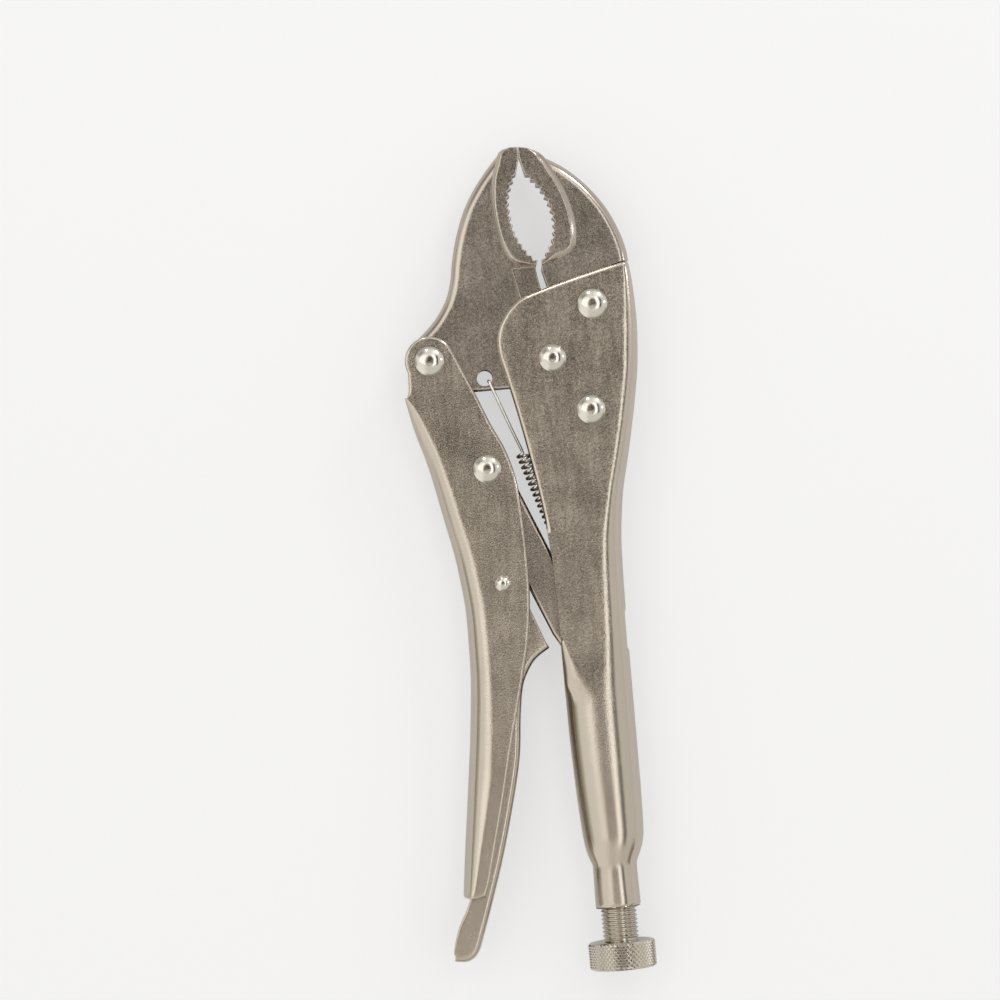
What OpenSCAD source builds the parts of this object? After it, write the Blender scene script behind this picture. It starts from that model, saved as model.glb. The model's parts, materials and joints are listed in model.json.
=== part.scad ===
// Curved-jaw locking pliers, closed and locked on the adjusting screw.
// The plan is drawn with the jaw pivot at zero, the adjusting screw along Y and the jaws
// towards +Y. "Down" is the distance below the jaw pivot, towards the knob. Each piece is
// drawn about its own middle plane and then set on the bench by seat().

/* [Sheet and thickness] */
// Outside width across the cheeks of the fixed handle
body_w = 15.6; // [15.2:0.1:16.2]
// Sheet thickness of the fixed handle
body_sheet = 2.5; // [2.2:0.1:2.6]
// Outside width across the cheeks of the lever handle
lever_w = 15; // [14.6:0.1:15.4]
// Sheet thickness of the lever handle
lever_sheet = 2.2; // [2:0.1:2.3]
// Width across the release lever
release_w = 9.8; // [9:0.1:10]
// Sheet thickness of the release lever
release_sheet = 1.4; // [1.2:0.1:1.6]
// Thickness of the moving jaw between the cheeks
moving_jaw_t = 9.8; // [9:0.1:9.9]
// Thickness of the fixed jaw between the cheeks
fixed_jaw_t = 10.5; // [10:0.1:10.5]
// Thickness across the raised pads round the mouth
pad_t = 12.8; // [12:0.1:14]
// Thickness of the toggle link
link_t = 8; // [7:0.1:8.4]

/* [Jaw teeth] */
// Number of teeth on each jaw
teeth = 13; // [11:1:14]
// Depth of a tooth
tooth_depth = 1; // [0.7:0.05:1.1]

/* [Rivets] */
// Shank diameter of the large rivets
rivet_d = 5.6; // [5:0.1:6]
// Head diameter of the large rivets
rivet_head_d = 8.9; // [8.2:0.1:9.2]
// Shank diameter of the release lever's rivet
small_rivet_d = 3; // [2.5:0.1:3.2]
// Head diameter of the release lever's rivet
small_head_d = 5; // [4.6:0.1:5.4]
// Head height of the release lever's rivet
small_head_h = 1.4; // [1:0.1:1.8]
// Radial clearance of a turning joint on its rivet
running_gap = 0.06; // [0.04:0.01:0.1]

/* [Adjusting screw] */
// Outside diameter of the screw
screw_d = 11.1; // [10.8:0.1:11.1]
// Outside diameter of the neck that holds the screw
neck_d = 13.5; // [13.3:0.1:13.8]
// Knob diameter
knob_d = 20.8; // [20.8:0.1:20.8]
// Knob length
knob_len = 8.6; // [8:0.1:9]
// Chamfer round the knob's ends
knob_chamfer = 0.9; // [0.6:0.1:1.2]
// Free length of screw between the neck and the knob
screw_shown = 10.4; // [10:0.1:10.8]
// Gap between the toggle link's foot and the screw's tip
tip_gap = 2.8; // [2.6:0.1:3]

/* [Spring] */
// Wire diameter
wire_d = 0.9; // [0.8:0.05:1]
// Outside diameter of the coils
coil_d = 4.8; // [4.4:0.1:5]
// Number of coils
coils = 26; // [20:1:28]

/* [Hidden] */
$fn = 48;

steel = [0.70, 0.67, 0.61];
bright = [0.80, 0.78, 0.73];
cut_steel = [0.62, 0.59, 0.54];
spring_steel = [0.55, 0.53, 0.50];

// Pivots in plan
jaw_pivot = [0, 0];
upper_rivet = [13.6, 15.5];
lower_rivet = [10.4, -16.7];
lever_pivot = [-37.6, 2.3];
toggle_pivot = [-22.9, -32.1];
link_foot = [5, -99.5];
release_pivot = [-21.1, -67.5];
spring_hole = [-21.3, -4.3];
spring_hole_d = 4.9;
spring_tab = [4.6, -78.5];
screw_x = 5.6;

// The bench lies under the knob; the rivet heads reach down to it as well
half_height = knob_d / 2;
plan_centre = [-9.8, -61.6];
body_half = body_w / 2;
lever_half = lever_w / 2;
neck_end = 169.6;
tube_wall = 2.1;
tube_half = 8.1;
knob_top = neck_end + screw_shown;
hub_r = 8.4;
jaw_gap = 0.25;
eps = 0.01;
// Corner size of an edge that is left square, and a height that cuts right through the tool
square_corner = 0.3;
through = 24;

module seat() {
    translate([-plan_centre[0], -plan_centre[1], half_height]) children();
}

// ---- Curves ----

// Slope at knot k of a curve that never overshoots its knots
function knot_slope(p, k) =
    let (before = k > 0 ? (p[k][1] - p[k - 1][1]) / (p[k][0] - p[k - 1][0]) : undef,
         after = k < len(p) - 1 ? (p[k + 1][1] - p[k][1]) / (p[k + 1][0] - p[k][0]) : undef)
    k == 0 ? after
    : k == len(p) - 1 ? before
    : before * after <= 0 ? 0
    : 2 * before * after / (before + after);

// Height of the curve through the knots [[t, value], ...] at t, held level past its ends
function curve_at(p, t) =
    t <= p[0][0] ? p[0][1]
    : t >= p[len(p) - 1][0] ? p[len(p) - 1][1]
    : let (k = max([for (i = [0 : len(p) - 2]) if (p[i][0] <= t) i]),
           h = p[k + 1][0] - p[k][0],
           s = (t - p[k][0]) / h,
           m0 = knot_slope(p, k) * h,
           m1 = knot_slope(p, k + 1) * h)
      (2 * s ^ 3 - 3 * s ^ 2 + 1) * p[k][1] + (s ^ 3 - 2 * s ^ 2 + s) * m0
      + (3 * s ^ 2 - 2 * s ^ 3) * p[k + 1][1] + (s ^ 3 - s ^ 2) * m1;

// A smooth run through plan points, with steps pieces between neighbours
function smooth(p, steps = 4) =
    let (last = len(p) - 1)
    [for (k = [0 : last - 1], i = [0 : steps - 1])
        let (s = i / steps,
             m0 = (p[k + 1] - p[max(k - 1, 0)]) / (k > 0 ? 2 : 1),
             m1 = (p[min(k + 2, last)] - p[k]) / (k < last - 1 ? 2 : 1))
        (2 * s ^ 3 - 3 * s ^ 2 + 1) * p[k] + (s ^ 3 - 2 * s ^ 2 + s) * m0
        + (3 * s ^ 2 - 2 * s ^ 3) * p[k + 1] + (s ^ 3 - s ^ 2) * m1,
     p[last]];

function arc(centre, r, from, to, steps = 8) =
    [for (i = [0 : steps]) let (a = from + (to - from) * i / steps) centre + r * [cos(a), sin(a)]];

function run_lengths(p, i = 0, sum = 0) =
    i >= len(p) - 1 ? [sum] : concat([sum], run_lengths(p, i + 1, sum + norm(p[i + 1] - p[i])));

// The point, and the direction, at distance s along a run
function walk(p, lengths, s) =
    let (i = min(max([for (k = [0 : len(p) - 1]) if (lengths[k] <= s + eps) k]), len(p) - 2),
         step = p[i + 1] - p[i],
         dir = step / norm(step))
    [p[i] + dir * (s - lengths[i]), dir];

// A saw of V teeth whose crests lie on the run and whose roots lie to the side given
function saw(p, count, depth, side) =
    let (lengths = run_lengths(p), whole = lengths[len(lengths) - 1])
    [for (i = [0 : 2 * count])
        let (at = walk(p, lengths, whole * i / (2 * count)),
             out = side * [at[1][1], -at[1][0]])
        at[0] + (i % 2) * depth * out];

// ---- Skins ----

// A solid through rings that all have the same number of points
module skin(rings) {
    n = len(rings[0]);
    m = len(rings);
    polyhedron(
        points = [for (ring = rings) each ring],
        faces = concat(
            [[for (i = [n - 1 : -1 : 0]) i]],
            [for (k = [0 : m - 2], i = [0 : n - 1])
                let (a = k * n + i, b = k * n + (i + 1) % n)
                each [[a, b + n, a + n], [a, b, b + n]]],
            [[for (i = [0 : n - 1]) (m - 1) * n + i]]));
}

// A plate of half thickness half inside an outline that runs anticlockwise, rounded all round
module rounded_plate(outline, half, round, steps = 3) {
    n = len(outline);
    out = [for (i = [0 : n - 1])
        let (d = outline[(i + 1) % n] - outline[(i + n - 1) % n]) [d[1], -d[0]] / norm(d)];
    levels = [for (i = [0 : steps]) let (a = 90 * i / steps)
        [half - round * (1 - cos(a)), round * (1 - sin(a))]];
    both = concat(levels, [for (i = [steps : -1 : 0]) [-levels[i][0], levels[i][1]]]);
    skin([for (level = both)
        [for (i = [0 : n - 1])
            let (q = outline[i] - out[i] * level[1]) [q[0], q[1], level[0]]]]);
}

// A run moved sideways, to its left
function beside(run, distance) =
    [for (i = [0 : len(run) - 1])
        let (d = run[min(i + 1, len(run) - 1)] - run[max(i - 1, 0)])
        run[i] + distance * [-d[1], d[0]] / norm(d)];

// A cutter that follows a plan run on its left. It trims a plate of half thickness half back to
// the run and rounds both its edges, over the width round and the height edge_h.
cut_reach = 5;
cut_over = 3;
cut_slant = 0.4;
cut_shelf = 0.6;
module edge_cutter(run, half, round, edge_h, steps = 4) {
    first = 90 / steps;
    lead = 0.2;
    start = [-round * (1 + lead * sin(first)), half + lead * edge_h * (1 - cos(first))];
    bend = concat([start], [for (i = [1 : steps]) let (a = first * i)
        [round * (sin(a) - 1), half - edge_h * (1 - cos(a))]]);
    inner = start[0] - cut_shelf;
    top = half + cut_over;
    profile = concat(
        [[inner, top], [cut_reach, top + cut_slant],
         [cut_reach + cut_slant, -top], [inner - cut_slant / 4, -top - cut_slant]],
        [for (q = bend) [q[0], -q[1]]],
        [for (i = [steps : -1 : 0]) bend[i]]);
    sides = [for (q = profile) beside(run, q[0])];
    skin([for (k = [0 : len(run) - 1])
        [for (j = [0 : len(profile) - 1]) [sides[j][k][0], sides[j][k][1], profile[j][1]]]]);
}

function reversed(p) = [for (i = [len(p) - 1 : -1 : 0]) p[i]];
module slab(thickness) { linear_extrude(thickness, center = true) children(); }

// A round bit that goes right through at a place
module drilled(place, d) {
    translate([place[0], place[1], -through / 2]) cylinder(d = d, h = through);
}

// A ring at the distance down: a box from left to right whose corners are quarter ellipses
function corner(cx, cz, rx, rz, from, steps) =
    [for (i = [0 : steps]) let (a = from - 90 * i / steps) [cx + rx * cos(a), cz + rz * sin(a)]];
function section(down, left, right, half, left_rx, left_rz, right_rx, right_rz, steps = 6) =
    [for (q = concat(
        corner(right - right_rx, half - right_rz, right_rx, right_rz, 90, steps),
        corner(right - right_rx, right_rz - half, right_rx, right_rz, 0, steps),
        corner(left + left_rx, left_rz - half, left_rx, left_rz, -90, steps),
        corner(left + left_rx, half - left_rz, left_rx, left_rz, 180, steps)))
        [q[0], -down, q[1]]];

// ---- Fixed handle: flat cheeks that curl into a tube and draw down to a neck ----

neck_left = screw_x - neck_d / 2;
neck_right = screw_x + neck_d / 2;
back = [[-30, 25.3], [-21, 26.4], [-10, 26.8], [3, 26.0], [15, 24.1], [30, 21.0], [45, 17.7],
        [60, 16.2], [80, 15.8], [130, 15.7], [146, 15.4], [151, 14.6], [154, 13.4],
        [157, neck_right], [neck_end, neck_right + 0.2]];
front = [[78, -5.0], [112, -4.9], [130, -4.4], [146, -3.5], [151, -2.9], [154, -2.1],
         [157, neck_left], [neck_end, neck_left - 0.2]];
back_round = [[-28, 1.8], [-18, 3.4], [-4, 4.9], [20, 4.9], [42, 5.2], [58, 6.6], [85, 7.8],
              [105, 8.4], [150, 8.2], [157, neck_d / 2 - 0.05]];
front_round = [[85, 0.3], [96, 4.2], [106, 8.4], [150, 7.6], [157, neck_d / 2 - 0.05]];
body_edge_h = [[-28, 2.6], [-10, 4.2], [20, 5.2], [60, 7.0], [90, body_half - 0.2],
               [110, tube_half - 0.05], [150, tube_half - 0.05], [157, neck_d / 2 - 0.05]];
tube_edge_h = [[85, 0.4], [96, 3.4], [106, tube_half - 0.05], [150, tube_half - 0.05],
               [157, neck_d / 2 - 0.05]];
body_half_at = [[92, body_half], [108, tube_half], [148, tube_half], [157, neck_d / 2]];
wall_at = [[84, body_sheet], [106, tube_wall]];
slit_half_at = [[66, body_half - body_sheet], [80, body_half - body_sheet], [90, 5.1], [95, 4.8],
                [100, 4.5], [103, 2.4], [106, 0.4], [150, 0.35], [neck_end, 0.7]];
// The front wall begins where the cheeks start to curl, and the hollow ends above the neck
curl_down = 78;
hollow_end = 150;
bore_start = 146;
body_stations = [-36, -26, -18, -10, -2, 8, 18, 28, 38, 48, 58, 68, 78, 85, 89, 93, 97, 101, 106,
                 114, 130, 142, 147, 150, 152, 154, 155.5, 157, 163];
left_of_all = -40;

function body_section(down, inset) =
    let (open = down < curl_down,
         half = curve_at(body_half_at, down) - inset,
         thin = function (list) max(square_corner, curve_at(list, down) - inset))
    section(down,
            open ? left_of_all : curve_at(front, down) + inset,
            curve_at(back, down) - inset,
            half,
            open ? square_corner : thin(front_round),
            open ? square_corner : min(thin(tube_edge_h), half - 2 * eps),
            thin(back_round), min(thin(body_edge_h), half - 2 * eps));

cheek_top = [[-8.6, 18.9], [-0.4, 21.5], [10.6, 24.4], [19.4, 26.5], [28.5, 28.4]];
cheek_edge = [[-4.9, -86], [-5.1, -70], [-5.9, -55], [-8.1, -38], [-11.6, -18.5], [-14.6, -4.5],
              [-16.3, 3], [-15.9, 9.3], [-12.6, 15.4], [-8.6, 18.9]];
module cheek_plan() {
    beyond_back = 40;
    before_front = -12;
    polygon(concat(
        smooth(cheek_edge, 4),
        smooth(cheek_top, 3),
        [[beyond_back, cheek_top[len(cheek_top) - 1][1]], [beyond_back, -neck_end],
         [before_front, -neck_end], [before_front, cheek_edge[0][1]]]));
}

// The flap struck in from the back of the handle, which holds the lower end of the spring
tab_w = 5;
tab_t = 2;
tab_past_hole = 1.6;
tab_root = 0.6;
window_len = 11;
window_gap = 0.3;
module spring_tab_flap() {
    tip = spring_tab[0] - tab_past_hole;
    back_in = curve_at(back, -spring_tab[1]) - body_sheet;
    translate([tip, spring_tab[1] - tab_t / 2, -tab_w / 2])
        cube([back_in + tab_root - tip, tab_t, tab_w]);
}
module tab_window() {
    inside_back = 10;
    depth = 12;
    translate([inside_back, spring_tab[1] - tab_t / 2 - window_len, -tab_w / 2 - window_gap])
        cube([depth, window_len, tab_w + 2 * window_gap]);
}

module fixed_handle() {
    slit = concat([for (s = slit_half_at) [-s[0], s[1]]],
                  [[-neck_end - 1, slit_half_at[len(slit_half_at) - 1][1]]]);
    seam_from = -12;
    seam_to = 2;
    wire_play = 0.5;
    color(steel) {
        difference() {
            intersection() {
                skin([for (d = concat(body_stations, [neck_end])) body_section(d, 0)]);
                slab(through) cheek_plan();
            }
            skin([for (d = body_stations) if (d < hollow_end)
                body_section(d, curve_at(wall_at, d))]);
            // Seam between the curled edges, wide enough above for the link to pass
            translate([seam_from, 0, 0]) rotate([90, 0, 90]) linear_extrude(seam_to - seam_from)
                polygon(concat(slit, [for (s = reversed(slit)) [s[0], -s[1]]]));
            // Bore of the neck
            translate([screw_x, -bore_start, 0]) rotate([90, 0, 0])
                cylinder(r = screw_d / 2 + running_gap, h = neck_end - bore_start + 1);
            for (p = [jaw_pivot, upper_rivet, lower_rivet]) drilled(p, rivet_d);
            tab_window();
        }
        difference() {
            spring_tab_flap();
            translate([spring_tab[0], spring_tab[1] + tab_t, 0]) rotate([90, 0, 0])
                cylinder(d = wire_d + wire_play, h = 2 * tab_t);
        }
    }
}

// ---- Jaws ----

// Working edges, from the tip to the throat
fixed_mouth = smooth([[-3.5, 56.6], [0.1, 52.2], [2.7, 46.6], [3.6, 41], [2.5, 35.5],
                      [-0.6, 30.5]], 6);
moving_mouth = smooth([[-6.4, 57], [-8.7, 51.4], [-9.1, 46.2], [-8.1, 39.8], [-5, 33.7],
                       [-1.9, 30.3]], 6);
tip_x = -4.95;
hub_gap = 1;

// Everything on the far side of the fixed jaw's working edge
module left_of_fixed() {
    polygon(concat(
        [[tip_x + jaw_gap / 2, 70], [tip_x + jaw_gap / 2, 62.2]],
        saw(fixed_mouth, teeth, tooth_depth, -1),
        [[-1.0, 27.4], [0.7, 20.6]],
        arc(jaw_pivot, hub_r + hub_gap, 66, -66, 16),
        [[2.6, -30], [-60, -30], [-60, 70]]));
}

// Everything on the far side of the moving jaw's working edge
module right_of_moving() {
    polygon(concat(
        [[40, 70], [40, -20], [0, -20]],
        arc(jaw_pivot, hub_r, -90, 80, 18),
        [[-1.3, 20.6], [-2.7, 27.3], [-2.3, 28.6]],
        [for (i = [2 * teeth : -1 : 0]) saw(moving_mouth, teeth, tooth_depth, 1)[i]],
        [[tip_x - jaw_gap / 2, 62.2], [tip_x - jaw_gap / 2, 70]]));
}

jaw_round = 2.8;
pad_round = 1.1;
fixed_pad_slope = 1.6;
blank_over = 2;

// The shoulder of the fixed jaw sits on the slanted top edge of the cheeks
shoulder_gap = 0.06;
function shoulder_y(x) =
    let (last = len(cheek_top) - 1,
         rise = cheek_top[last] - cheek_top[last - 1])
    cheek_top[last][1] + shoulder_gap + (x - cheek_top[last][0]) * rise[1] / rise[0];

// The back of the fixed jaw from its tip down past the shoulder
fixed_crown = [[-11, 65.2], [-5.4, 65.2], [-2.6, 64.8], [1.5, 62.4], [8.4, 58.2], [14.8, 52.3],
               [20.3, 44.9], [23.8, 37.3], [25.3, 32], [25.8, 26], [25.8, 20]];
fixed_pad = [[-11, 65.5], [-6, 65.5], [-2.2, 64.9], [1.8, 62.9], [4.9, 58.4], [8.3, 51.4],
             [10.3, 44.3], [10.9, 38.6], [10.2, 33.6], [7.8, 31.1], [4.2, 30.0], [0.8, 29.1],
             [-5, 27.6]];

// Where the root of the fixed jaw stops inside the handle's rounded back
root_gap = 2.8;
shoulder_start = 26.8;
root_side = [for (d = [-shoulder_start, -20, -10, 0, 10, 20, 32])
    [curve_at(back, d) - body_sheet - root_gap, -d]];

// A plate trimmed along a run. The cutter runs on past the plate at both ends.
module trimmed_plate(run, rest, thickness, round, edge_h, steps = 4) {
    rough = beside(run, blank_over);
    difference() {
        slab(thickness) polygon(concat([for (i = [2 : len(run) - 3]) rough[i]], rest));
        edge_cutter(run, thickness / 2, round, edge_h, steps);
    }
}

module fixed_jaw() {
    color(bright) difference() {
        union() {
            trimmed_plate(smooth(fixed_crown, 3), [[25, -24], [1, -24], [-8, 20], [-8, 67]],
                          fixed_jaw_t, jaw_round, jaw_round);
            trimmed_plate(smooth(fixed_pad, 2), [[-2, 26.6], [-2, 45], [-8, 67]],
                          pad_t, fixed_pad_slope, pad_round, 2);
        }
        slab(through) left_of_fixed();
        slab(through) polygon(concat(root_side, [[40, -32], [40, shoulder_y(40)]]));
        for (p = [upper_rivet, lower_rivet]) drilled(p, rivet_d);
    }
}

// The back of the moving jaw from beyond its lug up to its tip
moving_crown = [[-47, 3.4], [-40.4, 9.6], [-35.2, 14.5], [-31.2, 20.4], [-29.2, 26.3],
                [-28.2, 32], [-26.3, 39.5], [-23.2, 47.6], [-19.4, 54], [-14.9, 59.7],
                [-10.6, 64.2], [-7.3, 65.3], [1, 65.1]];
moving_heel = [[12, -8.1], [-40, -8.1]];
moving_pad = [[1, 28.8], [-4.4, 28.9], [-8.2, 29.5], [-10.7, 31.6], [-12.9, 36.6], [-14.1, 42.6],
              [-14.5, 49], [-13.9, 55.5], [-12.4, 60.6], [-10.8, 64.7], [-7.6, 65.5], [1, 65.4]];
lug_r = 6.8;
heel_round = 1.3;
// The land beside the parting line lies below the face of the jaw
land = [[-9.8, 28.2], [-8.8, 23.6], [-7.6, 18], [4, 18], [4, 28.2]];
land_depth = 0.8;
land_cut = 4;

module moving_jaw() {
    color(bright) difference() {
        union() {
            difference() {
                trimmed_plate(smooth(moving_crown, 3),
                              concat([[-1, 67], [9, 60], [9, -9.6], [-20, -9.6], [-30, -7.2]],
                                     reversed(arc(lever_pivot, lug_r, 170, 260, 8))),
                              moving_jaw_t, jaw_round, jaw_round);
                edge_cutter(moving_heel, moving_jaw_t / 2, heel_round, heel_round, 2);
            }
            trimmed_plate(smooth(moving_pad, 2), [[-1, 67.7], [-1, 27]],
                          pad_t, pad_round, pad_round, 2);
        }
        slab(through) right_of_moving();
        for (s = [-1, 1]) translate([0, 0, s * (moving_jaw_t / 2 - land_depth + land_cut / 2)])
            slab(land_cut) polygon(land);
        for (p = [jaw_pivot, lever_pivot]) drilled(p, rivet_d + 2 * running_gap);
        drilled(spring_hole, spring_hole_d);
    }
}

// ---- Lever handle: a channel with a rounded back, open towards the fixed handle ----

web_top = 8.4;
lever_back = [[web_top, -46.2], [17.5, -44.4], [30, -40.9], [46, -37.6], [62, -34.6], [78, -33.2],
              [92, -33.4], [110, -34.9], [130, -37.4], [150, -40.1], [166, -42.1]];
lever_round = [[web_top, 0.8], [13, 3.0], [22, 4.8], [60, 6.2], [90, 6.8], [120, 7.8], [150, 8.6],
               [166, 8.2]];
lever_stations = [-14, web_top - 0.8, web_top, 11, 14, 19, 26, 35, 46, 58, 70, 84, 98, 112, 128,
                  144, 156, 168];
lever_edge = [[-34.6, -162.3], [-33.0, -158], [-30, -146.5], [-26.6, -133.4], [-22.7, -117],
              [-18.3, -100], [-15.2, -87], [-13.4, -74], [-13.0, -60], [-13.5, -45],
              [-14.4, -35.6], [-16.9, -26.5], [-20.5, -18.8], [-24.6, -8.6], [-27.8, -1.2]];
ear_r = 7.6;
ears_reach = [-70, 10];

function lever_section(down, inset) =
    let (bare = down < web_top,
         round = curve_at(lever_round, down),
         round_h = min(round, lever_half - square_corner),
         thin = function (r) bare ? square_corner : max(square_corner, r - inset))
    section(down, bare ? ears_reach[0] : curve_at(lever_back, down) + inset, ears_reach[1],
            lever_half - inset, thin(round), thin(round_h), square_corner, square_corner, 5);

module lever_handle() {
    plan = concat([[-52, -162.6], [-38.4, -163.2]], smooth(lever_edge, 3),
                  arc(lever_pivot, ear_r, 20, 205, 14),
                  [[-44.4, -5.2], [-46.6, -8.6], [-52, -9]]);
    color(steel) difference() {
        intersection() {
            skin([for (d = lever_stations) lever_section(d, 0)]);
            slab(through) polygon(plan);
        }
        skin([for (d = lever_stations) lever_section(d, lever_sheet)]);
        for (p = [lever_pivot, toggle_pivot]) drilled(p, rivet_d);
        drilled(release_pivot, small_rivet_d);
    }
}

// ---- Toggle link ----

module toggle_link() {
    run = link_foot - toggle_pivot;
    lean = atan2(run[1], run[0]);
    head_r = 5.65;
    foot_r = 3.6;
    foot = link_foot - foot_r * run / norm(run);
    waist_share = 0.74;
    waist = toggle_pivot + waist_share * run;
    waist_r = head_r - 0.1;
    waist_turn = 12;
    foot_turn = 72;
    outline = concat(arc(toggle_pivot, head_r, lean + 90, lean + 270, 14),
                     arc(waist, waist_r, lean - 90, lean - 90 + waist_turn, 2),
                     arc(foot, foot_r, lean - foot_turn, lean + foot_turn, 10),
                     arc(waist, waist_r, lean + 90 - waist_turn, lean + 90, 2));
    link_round = 1.2;
    color(cut_steel) difference() {
        rounded_plate(outline, link_t / 2, link_round);
        drilled(toggle_pivot, rivet_d + 2 * running_gap);
    }
}

// ---- Release lever: a narrow channel whose web faces the fixed handle ----

release_back = [[-9.0, -87.6], [-10.6, -89.4], [-13.6, -91.9], [-16.2, -95.8], [-17.9, -100.2],
                [-19.2, -108.5], [-20.6, -121], [-24, -135.6], [-28.5, -151.7], [-33.4, -166.4],
                [-37.6, -178.2]];
release_tail = [[-37.6, -178.2], [-39.3, -181], [-42.2, -182.3], [-46.2, -181.8]];
release_round = 1.7;

module release_lever() {
    release_hub_r = 4.2;
    hub = arc(release_pivot, release_hub_r, 30, 190, 8);
    front_side = [[-27.2, -100], [-27.4, -120], [-31.8, -146], [-35.2, -163.6], [-39.9, -163.6],
                  [-45.6, -176]];
    web = concat(smooth(release_back, 3), [for (i = [1 : 6]) smooth(release_tail, 2)[i]]);
    run = concat([web[0] + [2.7, 3]], web, [web[len(web) - 1] + [-4, 1.6]]);
    nose_side = [[-13.8, -78.2], [-7.4, -90.8]];
    blank = concat([for (i = [3 : len(web) - 1]) beside(web, blank_over)[i]],
                   [[-46.4, -180]], reversed(front_side), reversed(hub), nose_side);
    hollow = concat(beside(web, -release_sheet), [[-60, -180], [-60, -50], [-6, -50], [-6, -84]]);
    color(steel) difference() {
        slab(release_w) polygon(blank);
        edge_cutter(run, release_w / 2, release_round, release_round, 3);
        slab(release_w - 2 * release_sheet) polygon(hollow);
        drilled(release_pivot, small_rivet_d + 2 * running_gap);
    }
}

// ---- Rivets ----

// A rivet with a domed head on each side of a pack of half thickness half
module rivet(place, shank_d, head_d, head_h, half) {
    dome_r = ((head_d / 2) ^ 2 + head_h ^ 2) / (2 * head_h);
    sweep = asin(head_d / 2 / dome_r);
    steps = 8;
    dome = [for (i = [0 : steps]) let (a = sweep * i / steps)
        [dome_r * sin(a), half + head_h - dome_r * (1 - cos(a))]];
    color(bright) translate([place[0], place[1], 0]) rotate_extrude()
        polygon(concat(dome, [[shank_d / 2, half], [shank_d / 2, -half]],
                       [for (q = reversed(dome)) [q[0], -q[1]]]));
}
shank_ease = 0.04;
module body_rivet(place, head_d) {
    rivet(place, rivet_d - shank_ease, head_d, half_height - body_half, body_half);
}
module lever_side_rivet(place, head_d) {
    rivet(place, rivet_d - shank_ease, head_d, half_height - lever_half, lever_half);
}

module fixed_jaw_rivet_upper() { body_rivet(upper_rivet, rivet_head_d + 0.2); }
module fixed_jaw_rivet_lower() { body_rivet(lower_rivet, rivet_head_d - 0.2); }
module jaw_pivot_rivet() { body_rivet(jaw_pivot, rivet_head_d - 0.6); }
module lever_rivet() { lever_side_rivet(lever_pivot, rivet_head_d); }
module toggle_rivet() { lever_side_rivet(toggle_pivot, rivet_head_d - 0.4); }
module release_rivet() {
    rivet(release_pivot, small_rivet_d - shank_ease, small_head_d, small_head_h, lever_half);
}

// ---- Adjusting screw and knob ----

screw_tip = -link_foot[1] + tip_gap;
tip_inset = 1.4;
tip_chamfer = 0.8;
tip_len = 2.4;
spigot_r = screw_d / 2 - 1.6;
knob_floor = 1.9;
knob_ease = 0.05;
module adjusting_screw() {
    r = screw_d / 2;
    tip_r = r - tip_inset;
    shoulder = knob_top - screw_tip;
    spigot_end = shoulder + knob_len - knob_floor - 2 * knob_ease;
    color(cut_steel) translate([screw_x, -screw_tip, 0]) rotate([90, 0, 0]) rotate_extrude()
        polygon([[0, 0], [tip_r - tip_chamfer, 0], [tip_r, tip_chamfer], [tip_r, tip_len],
                 [r, tip_len + tip_inset], [r, shoulder], [spigot_r, shoulder],
                 [spigot_r, spigot_end], [0, spigot_end]]);
}
module knurled_knob() {
    r = knob_d / 2;
    bore_r = spigot_r + running_gap;
    bore_end = knob_len - knob_floor;
    color(bright) translate([screw_x, -knob_top, 0]) rotate([90, 0, 0]) rotate_extrude()
        polygon([[bore_r, knob_ease], [r - knob_chamfer, knob_ease], [r, knob_chamfer],
                 [r, knob_len - knob_chamfer], [r - knob_chamfer, knob_len], [0, knob_len],
                 [0, bore_end], [bore_r, bore_end]]);
}

// ---- Spring: a straight hooked end, close coils and a hook through the tab ----

function unit(v) = v / norm(v);
function square_to(u, t) = unit(u - t * (u * t));

// The hooked end goes through the jaw's hole, over its face and down to the first coil
wire_gap = 0.15;
hook = spring_hole + [1.2, -1];
hook_bend = spring_hole + [1.6, -1.8];
hook_straight = spring_hole + [3.2, -6.2];
hook_depth = 3;
coils_top = [-11.5, -28.2];
coils_bottom = spring_tab + [-1.6, 5.2];
module jaw_spring() {
    coil_r = (coil_d - wire_d) / 2;
    top = coils_top;
    bottom = coils_bottom;
    length = norm(bottom - top);
    along = (bottom - top) / length;
    across = [-along[1], along[0]];
    per_turn = 10;
    over_face = moving_jaw_t / 2 + wire_d / 2 + wire_gap;
    turn_points = [for (i = [0 : coils * per_turn])
        let (s = length * i / (coils * per_turn), a = 90 + 360 * i / per_turn)
        [top[0] + along[0] * s + across[0] * coil_r * cos(a),
         top[1] + along[1] * s + across[1] * coil_r * cos(a), coil_r * sin(a)]];
    path = concat([[hook[0], hook[1], -hook_depth],
                   [hook[0], hook[1], over_face - 1],
                   [hook_bend[0], hook_bend[1], over_face],
                   [hook_straight[0], hook_straight[1], over_face]],
                  turn_points,
                  [[spring_tab[0], spring_tab[1] + 2.6, 0], [spring_tab[0], spring_tab[1] - 2.2, 0]]);
    sides = 5;
    last = len(path) - 1;
    tangents = [for (k = [0 : last]) unit(path[min(k + 1, last)] - path[max(k - 1, 0)])];
    // Each ring's first direction is the one before it, levelled square to the wire
    starts = [for (k = 0, u = square_to([1, 0, 0], tangents[0]); k <= last;
                   k = k + 1, u = k <= last ? square_to(u, tangents[k]) : u) u];
    color(spring_steel) skin([for (k = [0 : last])
        let (u = starts[k], v = cross(tangents[k], u))
        [for (i = [0 : sides - 1]) let (a = -360 * i / sides)
            path[k] + wire_d / 2 * (u * cos(a) + v * sin(a))]]);
}

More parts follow.
